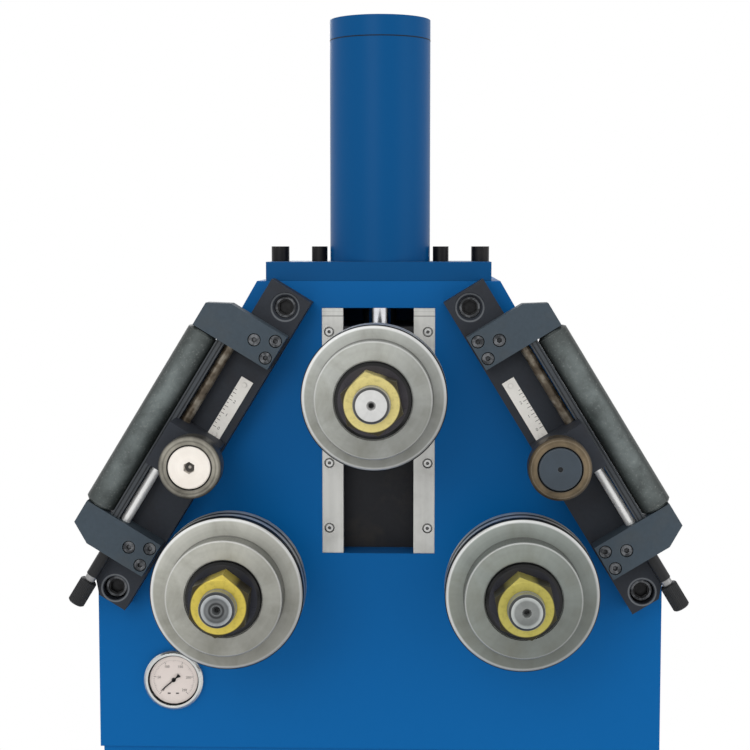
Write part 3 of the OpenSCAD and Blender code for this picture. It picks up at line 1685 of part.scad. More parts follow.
module switch_knob() color("firebrick") {
  face_x = cabinet_w / 2 + switch_t + near_gap;
  translate([face_x, switch_y, switch_z])
    rotate([0, 90, 0])
      union() {
        cylinder(h = switch_knob_t / 2, d = switch_knob_d);
        translate([-switch_bar_len / 2, -switch_bar_w / 2, 0])
          cube([switch_bar_len, switch_bar_w, switch_knob_t]);
        translate([0, 0, -switch_t - sheet_t - box_w / 4])
          cylinder(h = switch_t + sheet_t + box_w / 4 + over, d = switch_shaft_d);
      }
}

cabinet_shell();
rear_panel();
head_shell();
front_plate();
bearing_plate();
rear_cover();
gib_strips();
wear_plates();
shaft_covers();
frame_bearings();
plate_screws();
cylinder_barrel();
cylinder_cap();
rod_gland();
flange_screws();
piston_rod();
slide_block();
slide_bearings();
upper_shaft();
upper_rolls();
upper_collar();
upper_nut();
left_shaft();
left_rolls();
left_collar();
left_nut();
left_gear();
right_shaft();
right_rolls();
right_collar();
right_nut();
right_gear();
drive_pinion();
gearbox();
gear_motor();
bracket_bases();
end_plates();
guide_rails();
bracket_screws();
scale_strips();
left_carriage();
left_lead_screw();
left_knob();
left_guide_disc();
left_disc_cap();
left_support_roller();
right_carriage();
right_lead_screw();
right_knob();
right_guide_disc();
right_disc_cap();
right_support_roller();
gauge_case();
gauge_glass();
gauge_needle();
oil_tank();
pump_unit();
oil_pipes();
electric_box();
switch_knob();
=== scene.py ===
import bpy
import bmesh
import math
from mathutils import Matrix, Vector


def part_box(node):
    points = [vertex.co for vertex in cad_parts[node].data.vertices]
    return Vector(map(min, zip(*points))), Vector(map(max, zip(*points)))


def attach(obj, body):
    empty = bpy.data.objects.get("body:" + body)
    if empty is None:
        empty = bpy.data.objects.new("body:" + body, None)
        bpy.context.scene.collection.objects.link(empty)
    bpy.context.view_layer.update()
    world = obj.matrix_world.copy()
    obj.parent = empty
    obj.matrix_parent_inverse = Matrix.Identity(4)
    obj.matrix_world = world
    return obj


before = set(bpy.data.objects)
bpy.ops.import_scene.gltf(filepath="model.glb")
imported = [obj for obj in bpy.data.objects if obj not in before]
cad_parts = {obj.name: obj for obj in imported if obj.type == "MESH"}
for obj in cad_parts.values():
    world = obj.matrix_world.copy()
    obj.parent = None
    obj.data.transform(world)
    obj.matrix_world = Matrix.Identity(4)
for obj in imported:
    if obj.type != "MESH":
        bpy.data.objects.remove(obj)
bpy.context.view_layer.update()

# ---------------------------------------------------------------- camera
# The camera looks at the rolls from 1.7 m in front of them, a little from the
# right and 0.38 m above the lower shafts, through a lens of about 77 mm.
ROLL_FRONT_Y = -0.388
SHAFT_Z = 0.920
CAMERA_RIGHT = 0.0621
CAMERA_AWAY = 1.726
CAMERA_ABOVE = 0.3832
DEGREES_DOWN = 4.68
DEGREES_LEFT = 2.02
camera_data = bpy.data.cameras.new("studio_camera")
camera_data.lens = 76.8
camera_data.sensor_width = 36.0
camera = bpy.data.objects.new("studio_camera", camera_data)
bpy.context.scene.collection.objects.link(camera)
camera.location = (CAMERA_RIGHT, ROLL_FRONT_Y - CAMERA_AWAY, SHAFT_Z + CAMERA_ABOVE)
camera.rotation_euler = (math.radians(90 - DEGREES_DOWN), 0.0, math.radians(DEGREES_LEFT))
bpy.context.scene.camera = camera


# ---------------------------------------------------------------- welded frame
# Front plate, head shell, bearing plate, covers and cabinet: steel plate and
# sheet, welded or screwed together, under one even coat of sprayed enamel. The
# spray leaves a faint orange peel; the edges carry a painted highlight, and the
# corners painted shade with some dirt.
def srgb(red, green, blue):
    """A colour read off on the 0 to 255 scale, as Blender's linear one."""
    def linear(v):
        v /= 255.0
        return v / 12.92 if v <= 0.04045 else ((v + 0.055) / 1.055) ** 2.4
    return (linear(red), linear(green), linear(blue), 1.0)


def shade(colour, factor, lift=0.0):
    """A lighter or darker tone of a colour."""
    return tuple(min(1.0, c * factor + lift) for c in colour[:3]) + (1.0,)


def fill(tree, node, inputs):
    """Sets a shader node's inputs, and links those that another node feeds."""
    for key, value in inputs.items():
        if isinstance(value, bpy.types.NodeSocket):
            tree.links.new(value, node.inputs[key])
        else:
            node.inputs[key].default_value = value


def put(tree, kind, inputs=None, **settings):
    """Adds a shader node with its settings and inputs."""
    made = tree.nodes.new("ShaderNode" + kind)
    for key, value in settings.items():
        setattr(made, key, value)
    fill(tree, made, inputs or {})
    return made


def new_effect(name, takes, gives):
    """A node group with named inputs and outputs, and its two end nodes."""
    tree = bpy.data.node_groups.new(name, "ShaderNodeTree")
    for label, kind, value in takes:
        made = tree.interface.new_socket(label, in_out="INPUT", socket_type="NodeSocket" + kind)
        if value is not None:
            made.default_value = value
    for label, kind in gives:
        tree.interface.new_socket(label, in_out="OUTPUT", socket_type="NodeSocket" + kind)
    return tree, tree.nodes.new("NodeGroupInput"), tree.nodes.new("NodeGroupOutput")


def use_effect(tree, effect, inputs=None):
    """Places a node group in a material."""
    return put(tree, "Group", inputs, node_tree=effect).outputs


def blend_colours(tree, factor, first, second):
    """Two colours mixed by a factor."""
    return put(tree, "Mix", {0: factor, 6: first, 7: second}, data_type="RGBA").outputs[2]


def sums(tree, operation, first, second=0.0, clamp=False):
    """One step of arithmetic in a node tree."""
    return put(tree, "Math", {0: first, 1: second}, operation=operation,
               use_clamp=clamp).outputs[0]


def laid_over(tree, mask, share, under, over):
    """A colour laid over another where a mask says, at most by a share."""
    return blend_colours(tree, sums(tree, "MULTIPLY", mask, share), under, over)


def spread(tree, value, low, high, start=0.0, end=1.0):
    """A value from start to end, spread over another range."""
    return put(tree, "MapRange", {"Value": value, "From Min": start, "From Max": end,
                                  "To Min": low, "To Max": high}).outputs[0]


def speckle(tree, where, scale, detail, roughness=0.5, distortion=0.0):
    """A soft random pattern, finer the larger its scale."""
    return put(tree, "TexNoise", {"Vector": where, "Scale": scale, "Detail": detail,
                                  "Roughness": roughness,
                                  "Distortion": distortion}).outputs["Fac"]


def bumped(tree, height, normal, strength, distance):
    """A surface normal with a fine relief on it."""
    return put(tree, "Bump", {"Strength": strength, "Distance": distance, "Height": height,
                              "Normal": normal}).outputs[0]


def new_finish(name):
    """An empty material: its tree, its main shader and the object coordinates."""
    made = bpy.data.materials.new(name)
    made.use_nodes = True
    tree = made.node_tree
    shader = tree.nodes["Principled BSDF"]
    where = put(tree, "TexCoord").outputs["Object"]
    return made, tree, shader, where


def wire_up(tree, shader, colour, roughness, normal, metallic=0.0, gloss=0.5):
    """Joins a finish to its shader; what is the same all over stays on its socket."""
    fill(tree, shader, {"Base Color": colour, "Roughness": roughness, "Normal": normal,
                        "Metallic": metallic, "Specular IOR Level": gloss})


def dress(finish, *names):
    """Gives CAD nodes or new pieces a finish."""
    for name in names:
        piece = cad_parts[name] if isinstance(name, str) else name
        if not piece.material_slots:
            piece.data.materials.append(finish)
        for place in piece.material_slots:
            place.material = finish


# Softened edges: the small radius that every deburred edge has. The finishes
# lighten along its Edge mask, partly as wear and partly as a painted highlight.
soft_edge, ends_in, ends_out = new_effect(
    "softened_edges", [("Radius", "Float", 0.0008)], [("Normal", "Vector"), ("Edge", "Float")])
rounded = put(soft_edge, "Bevel", {"Radius": ends_in.outputs["Radius"]}, samples=4)
flat_normal = put(soft_edge, "NewGeometry").outputs["Normal"]
turned_away = put(soft_edge, "VectorMath", {0: rounded.outputs[0], 1: flat_normal},
                  operation="DOT_PRODUCT").outputs["Value"]
bent = sums(soft_edge, "SUBTRACT", 1.0, turned_away)
fill(soft_edge, ends_out, {"Normal": rounded.outputs[0],
                           "Edge": sums(soft_edge, "MULTIPLY", bent, 4.0, clamp=True)})

# Corner dirt and painted shade: darker in sockets, grooves and corners, partly
# dirt and old oil that stay there, partly painted shade where little light falls.
corner_dirt_and_shade, ends_in, ends_out = new_effect(
    "corner_dirt_and_shade", [("Reach", "Float", 0.004)], [("Dirt_and_shade", "Float")])
openness = put(corner_dirt_and_shade, "AmbientOcclusion", {"Distance": ends_in.outputs["Reach"]},
               samples=6, only_local=True).outputs["AO"]
fill(corner_dirt_and_shade, ends_out, {"Dirt_and_shade": spread(corner_dirt_and_shade, openness, 1.0, 0.0, 0.3, 0.86)})

# Sprayed film: broad tone, orange peel height and a thin veil of dust on top.
paint_film, ends_in, ends_out = new_effect(
    "sprayed_film", [("Vector", "Vector", None)],
    [("Tone", "Float"), ("Height", "Float"), ("Dust", "Float")])
upward = put(paint_film, "SeparateXYZ", {0: put(paint_film, "NewGeometry").outputs["Normal"]})
lying = sums(paint_film, "MULTIPLY", upward.outputs["Z"], 1.0, clamp=True)
dust = speckle(paint_film, ends_in.outputs[0], 14.0, 6.0)
fill(paint_film, ends_out, {"Tone": speckle(paint_film, ends_in.outputs[0], 2.3, 3.0),
                            "Height": speckle(paint_film, ends_in.outputs[0], 420.0, 2.0),
                            "Dust": sums(paint_film, "MULTIPLY", lying, dust)})


def machine_enamel(name, colour, roughness):
    """Sprayed enamel in one colour, with painted shade and dirt in its corners and a painted
    highlight along its edges.
    """
    made, tree, shader, where = new_finish(name)
    film = use_effect(tree, paint_film, {"Vector": where})
    edge = use_effect(tree, soft_edge, {"Radius": 0.0012})
    dirt_and_shade = use_effect(tree, corner_dirt_and_shade, {"Reach": 0.005})["Dirt_and_shade"]
    tone = blend_colours(tree, film["Tone"], shade(colour, 0.95), shade(colour, 1.05))
    edge_highlight = laid_over(tree, edge["Edge"], 0.3, tone, shade(colour, 1.35, 0.02))
    dusty = laid_over(tree, film["Dust"], 0.06, edge_highlight, srgb(150, 155, 160))
    with_dirt_and_shade = laid_over(tree, dirt_and_shade, 0.45, dusty, shade(colour, 0.35))
    wire_up(tree, shader, with_dirt_and_shade, spread(tree, film["Tone"], roughness - 0.04, roughness + 0.06),
            bumped(tree, film["Height"], edge["Normal"], strength=0.05, distance=0.0004),
            gloss=0.09)
    return made


frame_blue = machine_enamel("frame_blue_enamel", srgb(2, 94, 160), roughness=0.42)
dress(frame_blue, "front_plate", "head_shell", "bearing_plate", "rear_cover",
      "cabinet_shell", "rear_panel")

# ---------------------------------------------------------------- press cylinder
# Tube and flange are one weldment from the cylinder's maker, painted in a
# slightly deeper blue than the frame. The cap is screwed in, which leaves a
# fine dark joint round the tube.
cylinder_blue = machine_enamel("cylinder_blue_enamel", srgb(0, 76, 130), roughness=0.36)
dress(cylinder_blue, "cylinder_barrel", "cylinder_cap")
SHARP_ANGLE = math.radians(35)
ROUND_STEPS = 96


def keep_piece(mesh, name, body, finish):
    """Turns a finished bmesh into a piece that rides on a body."""
    bmesh.ops.remove_doubles(mesh, verts=mesh.verts, dist=1e-6)
    bmesh.ops.recalc_face_normals(mesh, faces=mesh.faces)
    for face in mesh.faces:
        face.smooth = True
    data = bpy.data.meshes.new(name)
    mesh.to_mesh(data)
    mesh.free()
    data.set_sharp_from_angle(angle=SHARP_ANGLE)
    piece = bpy.data.objects.new(name, data)
    bpy.context.scene.collection.objects.link(piece)
    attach(piece, body)
    dress(finish, piece)


def spun_ring(mesh, outline):
    """Spins a closed outline of (radius, height) points once round the Z axis."""
    corners = [mesh.verts.new((radius, 0.0, height)) for radius, height in outline]
    sides = [mesh.edges.new((corners[i - 1], corners[i])) for i in range(len(corners))]
    bmesh.ops.spin(mesh, geom=corners + sides, cent=(0, 0, 0), axis=(0, 0, 1),
                   dvec=(0, 0, 0), angle=math.tau, steps=ROUND_STEPS, use_merge=True,
                   use_duplicate=False)


def moulded(name, colour, roughness, grain=900.0):
    """Rubber, sealant, ink or plastic: one colour with a fine moulded grain, and painted shade
    with dirt in its corners.
    """
    made, tree, shader, where = new_finish(name)
    fine = speckle(tree, where, grain, 2.0)
    edge = use_effect(tree, soft_edge, {"Radius": 0.0004})
    dirt_and_shade = use_effect(tree, corner_dirt_and_shade)["Dirt_and_shade"]
    tone = blend_colours(tree, speckle(tree, where, 9.0, 4.0), shade(colour, 0.88),
                         shade(colour, 1.1))
    with_dirt_and_shade = laid_over(tree, dirt_and_shade, 0.6, tone, shade(colour, 0.3))
    wire_up(tree, shader, with_dirt_and_shade, spread(tree, fine, roughness - 0.08, roughness + 0.08),
            bumped(tree, fine, edge["Normal"], strength=0.1, distance=0.0002), gloss=0.25)
    return made


CAP_SEAM_Z = 1.5444
JOINT_H = 0.0012
JOINT_PROUD = 0.0002
JOINT_SUNK = 0.0012
cap_low, cap_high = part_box("cylinder_cap")
tube_radius = (cap_high[0] - cap_low[0]) / 2
joint_mesh = bmesh.new()
spun_ring(joint_mesh, [(tube_radius - JOINT_SUNK, -JOINT_H / 2),
                       (tube_radius + JOINT_PROUD, -JOINT_H / 2),
                       (tube_radius + JOINT_PROUD, JOINT_H / 2),
                       (tube_radius - JOINT_SUNK, JOINT_H / 2)])
joint_mesh.transform(Matrix.Translation(((cap_low[0] + cap_high[0]) / 2,
                                         (cap_low[1] + cap_high[1]) / 2, CAP_SEAM_Z)))
keep_piece(joint_mesh, "cap_joint", "frame",
           moulded("joint_sealant", srgb(10, 22, 34), roughness=0.6))


def machined(name, colour, roughness, metallic, grain, along=(1.0, 1.0, 1.0), stain=0.12,
             stain_colour=(0.10, 0.085, 0.06, 1.0), edge_light=0.25, dirt_and_shade_share=0.8, gloss=0.25,
             contrast=0.14):
    """Bare or coated steel: fine grain along one direction, with stains of handling, edges
    lighter partly from wear and partly as a painted highlight, and painted shade with dirt in
    corners.
    """
    made, tree, shader, where = new_finish(name)
    stretched = put(tree, "Mapping", {"Vector": where, "Scale": along}).outputs[0]
    fine = speckle(tree, stretched, grain, 3.0)
    patches = speckle(tree, where, 26.0, 5.0, roughness=0.62)
    edge = use_effect(tree, soft_edge, {"Radius": 0.0006})
    dirt_and_shade = use_effect(tree, corner_dirt_and_shade)["Dirt_and_shade"]
    grained = blend_colours(tree, fine, shade(colour, 1.0 - contrast),
                            shade(colour, 1.0 + contrast))
    spots = spread(tree, patches, 0.0, 1.0, 0.48, 0.72)
    stained = laid_over(tree, spots, stain, grained, stain_colour)
    edges_worn_and_lit = laid_over(tree, edge["Edge"], edge_light, stained, shade(colour, 1.6, 0.12))
    with_dirt_and_shade = laid_over(tree, dirt_and_shade, dirt_and_shade_share, edges_worn_and_lit, srgb(12, 12, 13))
    wire_up(tree, shader, with_dirt_and_shade, spread(tree, patches, roughness - 0.07, roughness + 0.1),
            bumped(tree, fine, edge["Normal"], strength=0.12, distance=0.0002),
            metallic, gloss)
    return made


# ---------------------------------------------------------------- flange screws
# Four socket head screws in black oxide hold the cylinder's flange down on the
# top plate of the head. Their edges are a little lighter, partly rubbed by
# handling and partly a painted highlight.
black_oxide = machined("black_oxide", srgb(22, 22, 24), roughness=0.38, metallic=0.3,
                       grain=300.0, stain=0.1, edge_light=0.15)
dress(black_oxide, "flange_screws")

# ---------------------------------------------------------------- piston rod and gland
# The rod is hard chromed and polished, so that its seal lasts. It runs through a
# machined bronze gland in the lower end of the cylinder.
hard_chrome = machined("hard_chrome", srgb(225, 226, 230), roughness=0.12, metallic=1.0,
                       grain=120.0, stain=0.02)
dress(hard_chrome, "piston_rod")
gland_bronze = machined("gland_bronze", srgb(176, 142, 86), roughness=0.34, metallic=1.0,
                        grain=240.0, stain=0.15)
dress(gland_bronze, "rod_gland")

# ---------------------------------------------------------------- slide and guides
# The press slide is a dark phosphated block on dark wear plates. The two
# strips that hold it in the slot are ground steel, the grain along their length,
# and dirt shows the seam under the short filler at the top of each.
slide_dark = machined("slide_phosphate", srgb(33, 34, 38), roughness=0.5, metallic=0.2,
                      grain=200.0, stain=0.2)
dress(slide_dark, "slide_block", "wear_plates")


def ramp(tree, factor, stops):
    """A colour ramp over a factor, from (place, colour) stops."""
    made = put(tree, "ValToRGB", {"Fac": factor})
    bar = made.color_ramp.elements
    while len(bar) < len(stops):
        bar.new(0.5)
    for element, (place, colour) in zip(bar, stops):
        element.position = place
        element.color = colour
    return made.outputs["Color"]


def bands_of(tree, value, stops, reach=None):
    """A mask over a distance: grey levels at places in metres, straight in between."""
    reach = reach or stops[-1][0]
    share = sums(tree, "DIVIDE", value, reach, clamp=True)
    return ramp(tree, share, [(place / reach, (level, level, level, 1.0))
                              for place, level in stops])


def mark_on(finish, mask, colour):
    """Lays one more colour over a finish that is ready."""
    tree = finish.node_tree
    base = tree.nodes["Principled BSDF"].inputs["Base Color"]
    tree.links.new(blend_colours(tree, mask, base.links[0].from_socket, colour), base)


FILLER_H = 0.0095
strip_ground = machined("ground_strip", srgb(202, 202, 198), roughness=0.42, metallic=0.6,
                        grain=160.0, along=(1.0, 1.0, 0.04), stain=0.22,
                        stain_colour=srgb(116, 112, 104), edge_light=0.4)
tree = strip_ground.node_tree
height = put(tree, "SeparateXYZ", {0: put(tree, "TexCoord").outputs["Object"]}).outputs["Z"]
below_top = sums(tree, "SUBTRACT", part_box("gib_strips")[1][2], height)
seams = bands_of(tree, below_top, [
    (0.0, 0.0), (0.0036, 0.0), (0.004, 0.3), (0.0044, 0.0),
    (FILLER_H - 0.0007, 0.0), (FILLER_H - 0.0002, 0.75), (FILLER_H + 0.0002, 0.75),
    (FILLER_H + 0.0007, 0.0)], reach=0.012)
mark_on(strip_ground, seams, srgb(40, 40, 40))
dress(strip_ground, "gib_strips")

# ---------------------------------------------------------------- bearings and covers
# The bearings are ground and polished rings, pressed into the plates. Turned
# covers in dark phosphate close the lower front ones. Small steel screws hold
# them, the strips in the slot, the panels at the back and the head.
bearing_steel = machined("bearing_steel", srgb(205, 206, 210), roughness=0.22, metallic=1.0,
                         grain=300.0, stain=0.03)
dress(bearing_steel, "frame_bearings", "slide_bearings")
cover_phosphate = machined("cover_phosphate", srgb(54, 57, 62), roughness=0.48, metallic=0.3,
                           grain=220.0)
dress(cover_phosphate, "shaft_covers")
screw_steel = machined("screw_steel", srgb(205, 205, 203), roughness=0.3, metallic=0.8,
                       grain=320.0, stain=0.1, dirt_and_shade_share=0.95)
dress(screw_steel, "plate_screws")

# ---------------------------------------------------------------- roll sets
# Three hardened discs on each shaft, turned on the lathe: fine rings round
# the shaft, painted highlights in sectors where a turned face would catch the
# light, a thin film of oil gone warm grey in patches, and painted shade
# between the discs and towards the lower right.
lathe_marks, ends_in, ends_out = new_effect(
    "lathe_marks", [("Vector", "Vector", None)],
    [("Rings", "Float"), ("Bands", "Float"), ("Sectors", "Float"), ("Film", "Float"),
     ("Radius", "Float"), ("Depth", "Float"), ("Painted_shade", "Float")])
apart = put(lathe_marks, "SeparateXYZ", {0: ends_in.outputs[0]}).outputs
flat = put(lathe_marks, "CombineXYZ", {"X": apart["X"], "Z": apart["Z"]}).outputs[0]
from_axis = put(lathe_marks, "VectorMath", {0: flat}, operation="LENGTH").outputs["Value"]
direction = put(lathe_marks, "VectorMath", {0: flat}, operation="NORMALIZE").outputs[0]
path = sums(lathe_marks, "ADD", from_axis, apart["Y"])
rings = put(lathe_marks, "TexNoise", {"W": path, "Scale": 2600.0, "Detail": 2.0},
            noise_dimensions="1D").outputs["Fac"]
bands = put(lathe_marks, "TexNoise", {"W": path, "Scale": 130.0, "Detail": 3.0},
            noise_dimensions="1D").outputs["Fac"]
ROLL_REACH = 0.085
# Painted shade: turned faces grow darker towards the lower right, away from the light.
TOWARDS_SHADE = (0.6, 0.0, -0.8)
shade_side = put(lathe_marks, "VectorMath", {0: flat, 1: TOWARDS_SHADE},
               operation="DOT_PRODUCT").outputs["Value"]
fill(lathe_marks, ends_out, {
    "Rings": rings, "Bands": bands, "Radius": from_axis, "Depth": apart["Y"],
    "Sectors": speckle(lathe_marks, direction, 2.6, 3.0, roughness=0.6),
    "Film": speckle(lathe_marks, ends_in.outputs[0], 17.0, 6.0, roughness=0.6, distortion=0.6),
    "Painted_shade": spread(lathe_marks, shade_side, 0.0, 1.0, -ROLL_REACH, ROLL_REACH)})


def centred_on(tree, where, centre):
    """The object coordinates, measured from a centre."""
    return put(tree, "Mapping", {"Vector": where,
                                 "Location": tuple(-c for c in centre)}).outputs[0]


def lathe_turned(name, centre, colour, roughness, metallic=0.75, film_colour=srgb(122, 121, 108),
                 film_share=0.4, radius=0.0009, edge_light=0.75, rings_dark=None,
                 depths_dark=None, highlight_rings=None, sector_share=0.5, lower_right_shade=0.0,
                 dirt_and_shade_share=0.85):
    """Turned steel whose rings run round an axis along Y through a centre, with painted
    highlights in sectors, along edges and in the highlight rings, painted shade towards the
    lower right and in corners, and the dark rings and depths in black for oil and painted shade.
    """
    made, tree, shader, where = new_finish(name)
    marks = use_effect(tree, lathe_marks, {"Vector": centred_on(tree, where, centre)})
    edge = use_effect(tree, soft_edge, {"Radius": radius})
    dirt_and_shade = use_effect(tree, corner_dirt_and_shade, {"Reach": 0.0025})["Dirt_and_shade"]
    tone = blend_colours(tree, marks["Bands"], shade(colour, 0.88), shade(colour, 1.12))
    sector_highlight = spread(tree, marks["Sectors"], 0.0, 1.0, 0.38, 0.62)
    lit = laid_over(tree, sector_highlight, sector_share, tone, shade(colour, 1.3))
    oil_and_shade = spread(tree, marks["Film"], 0.0, 1.0, 0.42, 0.68)
    warmed = laid_over(tree, oil_and_shade, film_share, lit, film_colour)
    top = laid_over(tree, edge["Edge"], edge_light, warmed, srgb(240, 240, 238))
    if highlight_rings:
        top = blend_colours(tree, bands_of(tree, marks["Radius"], highlight_rings), top,
                            srgb(240, 241, 240))
    top = laid_over(tree, marks["Painted_shade"], lower_right_shade, top, shade(colour, 0.22))
    oil_and_shade_black = srgb(14, 14, 15)
    top = laid_over(tree, dirt_and_shade, dirt_and_shade_share, top, oil_and_shade_black)
    for distance, stops in ((marks["Radius"], rings_dark), (marks["Depth"], depths_dark)):
        if stops:
            top = blend_colours(tree, bands_of(tree, distance, stops), top, oil_and_shade_black)
    wire_up(tree, shader, top, spread(tree, marks["Film"], roughness - 0.06, roughness + 0.1),
            bumped(tree, marks["Rings"], edge["Normal"], strength=0.16, distance=0.0002),
            metallic, gloss=0.3)
    return made


def axis_of(node):
    """Middle of a turned CAD node, on its front face."""
    low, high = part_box(node)
    return ((low[0] + high[0]) / 2, low[1], (low[2] + high[2]) / 2)


# Depths are behind the hub's front face: the first disc starts 25.7 mm behind
# it. Its rim and the hub's edge carry a painted highlight, and the hub's side
# and the second and fourth bands are painted dark as shade.
HUB_LEN = 0.0257
ROLL_DEPTH = HUB_LEN + 0.047
shade_between_discs = [(0.0, 0.0), (0.0035, 0.0), (0.006, 0.08), (HUB_LEN - 0.0014, 0.1),
                 (HUB_LEN - 0.0004, 0.5), (HUB_LEN - 0.0001, 0.0), (HUB_LEN + 0.0012, 0.0),
                 (HUB_LEN + 0.0018, 1.0), (HUB_LEN + 0.0108, 1.0), (HUB_LEN + 0.012, 0.05),
                 (HUB_LEN + 0.0222, 0.1), (HUB_LEN + 0.0234, 1.0), (HUB_LEN + 0.0322, 1.0),
                 (HUB_LEN + 0.0334, 0.15), (ROLL_DEPTH, 0.4)]
HUB_RADIUS = 0.064
BORE_RADIUS = 0.041
RIM_CHAMFER = 0.0026
roll_colours = {"upper": srgb(174, 176, 171), "left": srgb(182, 182, 174),
                "right": srgb(146, 152, 147)}
for spindle, colour in roll_colours.items():
    roll_low, roll_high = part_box(spindle + "_rolls")
    rim = (roll_high[0] - roll_low[0]) / 2
    # Painted shade in the collar's recess and round the hub's foot.
    shade_in_corners = [(0.0, 1.0), (BORE_RADIUS + 0.0008, 1.0), (BORE_RADIUS + 0.0014, 0.0),
                  (HUB_RADIUS - 0.0002, 0.0), (HUB_RADIUS + 0.0002, 0.75),
                  (HUB_RADIUS + 0.0012, 0.0), (rim, 0.0)]
    rim_highlight = [(0.0, 0.0), (HUB_RADIUS - 0.0022, 0.0), (HUB_RADIUS - 0.0012, 0.35),
                  (HUB_RADIUS - 0.0001, 0.35), (HUB_RADIUS + 0.0001, 0.0),
                  (rim - RIM_CHAMFER - 0.0022, 0.0), (rim - RIM_CHAMFER - 0.0006, 0.8),
                  (rim, 0.9)]
    dress(lathe_turned(spindle + "_roll_steel", axis_of(spindle + "_rolls"), colour,
                       roughness=0.4, rings_dark=shade_in_corners, depths_dark=shade_between_discs,
                       highlight_rings=rim_highlight, lower_right_shade=0.62, dirt_and_shade_share=0.3, film_share=0.55),
          spindle + "_rolls")

# The shaft gears and the drive pinion are cut from the same kind of steel.
for gear, shaft in (("left_gear", "left_shaft"), ("right_gear", "right_shaft"),
                    ("drive_pinion", "drive_pinion")):
    dress(lathe_turned(gear + "_steel", axis_of(shaft), srgb(140, 142, 144), roughness=0.36),
          gear)

# ---------------------------------------------------------------- shafts and collars
# Ground shafts with a lathe centre in the front end. The upper end is clean;
# the lower two are black with old oil inside a bright rubbed rim. The chamfer
# round each end, and the upper one's lathe centre, are painted dark as shade. A
# black collar lies in the mouth of each hub; its outer chamfer is painted black
# as shade, and its sectors carry a painted sheen.
STUB_RADIUS = 0.0195
chamfer_shade_ring = [(STUB_RADIUS - 0.0032, 0.0), (STUB_RADIUS - 0.0026, 0.9),
              (STUB_RADIUS - 0.0006, 0.85), (STUB_RADIUS, 0.35)]
end_tones = {
    "upper": (srgb(200, 200, 198), srgb(178, 178, 178), 0.4,
              [(0.0, 1.0), (0.0024, 0.9), (0.0032, 0.0)] + chamfer_shade_ring),
    "left": (srgb(172, 176, 178), srgb(60, 66, 70), 0.5,
             [(0.0, 1.0), (0.0045, 0.55), (0.0075, 0.95), (0.0095, 0.6), (0.0125, 0.72),
              (STUB_RADIUS - 0.0052, 0.1)] + chamfer_shade_ring),
    "right": (srgb(182, 186, 184), srgb(96, 104, 100), 0.5,
              [(0.0, 1.0), (0.004, 0.5), (0.0125, 0.55), (STUB_RADIUS - 0.0052, 0.1)]
              + chamfer_shade_ring)}
collar_tones = {"upper": srgb(56, 53, 58), "left": srgb(36, 38, 47), "right": srgb(38, 39, 46)}
chamfer_shade = [(0.0, 0.0), (0.0374, 0.0), (0.0382, 1.0), (BORE_RADIUS, 1.0)]
for spindle, (colour, film_colour, film_share, rings_dark) in end_tones.items():
    centre = axis_of(spindle + "_shaft")
    dress(lathe_turned(spindle + "_shaft_steel", centre, colour, roughness=0.32, metallic=0.6,
                       film_colour=film_colour, film_share=film_share, radius=0.0007,
                       rings_dark=rings_dark, sector_share=0.25), spindle + "_shaft")
    dress(lathe_turned(spindle + "_collar_black", centre, collar_tones[spindle],
                       roughness=0.26, metallic=0.15, film_colour=srgb(26, 25, 28),
                       edge_light=0.03, rings_dark=chamfer_shade, sector_share=0.9),
          spindle + "_collar")

# ---------------------------------------------------------------- shaft nuts
# Hexagon nuts in yellow zinc plating, rubbed pale on the faces. The chamfered
# corners are painted dark as shade, all but the topmost, lit one.
NUT_FACE_RADIUS = 0.0288
nut_tones = {"upper": (srgb(206, 192, 124), 98), "left": (srgb(204, 184, 80), 86),
             "right": (srgb(178, 168, 84), 101)}
for spindle, (colour, lit_corner_angle) in nut_tones.items():
    finish, tree, shader, where = new_finish(spindle + "_nut_zinc")
    centred = centred_on(tree, where, axis_of(spindle + "_nut"))
    marks = use_effect(tree, lathe_marks, {"Vector": centred})
    edge = use_effect(tree, soft_edge, {"Radius": 0.0008})
    # Painted shade with dirt darkens the corners.
    dirt_and_shade = use_effect(tree, corner_dirt_and_shade, {"Reach": 0.004})["Dirt_and_shade"]
    scuffs = speckle(tree, where, 190.0, 5.0, roughness=0.7)
    plated = blend_colours(tree, spread(tree, scuffs, 0.0, 0.55, 0.5, 0.72), colour,
                           shade(colour, 0.5))
    hazed = blend_colours(tree, spread(tree, marks["Film"], 0.0, 0.35, 0.45, 0.7), plated,
                          shade(colour, 1.1, 0.05))
    flattened = put(tree, "VectorMath", {0: centred, 1: (1.0, 0.0, 1.0)},
                    operation="MULTIPLY").outputs[0]
    facing = put(tree, "VectorMath", {0: flattened}, operation="NORMALIZE").outputs[0]
    turn = math.radians(lit_corner_angle)
    near_lit_corner = put(tree, "VectorMath", {0: facing, 1: (math.cos(turn), 0.0, math.sin(turn))},
                     operation="DOT_PRODUCT").outputs["Value"]
    shaded_corners = spread(tree, near_lit_corner, 1.0, 0.12, 0.78, 0.93)
    beyond = spread(tree, marks["Radius"], 0.0, 1.0, NUT_FACE_RADIUS, NUT_FACE_RADIUS + 0.0012)
    corners_shade_laid = laid_over(tree, sums(tree, "MULTIPLY", shaded_corners, beyond), 0.95, hazed,
                        srgb(26, 22, 18))
    nut_with_dirt_and_shade = laid_over(tree, dirt_and_shade, 0.8, corners_shade_laid, srgb(24, 20, 14))
    edges_worn_and_lit = laid_over(tree, edge["Edge"], 0.25, nut_with_dirt_and_shade, shade(colour, 1.2, 0.1))
    wire_up(tree, shader, edges_worn_and_lit, spread(tree, scuffs, 0.28, 0.5),
            bumped(tree, scuffs, edge["Normal"], strength=0.15, distance=0.0003),
            metallic=0.65)
    dress(finish, spindle + "_nut")

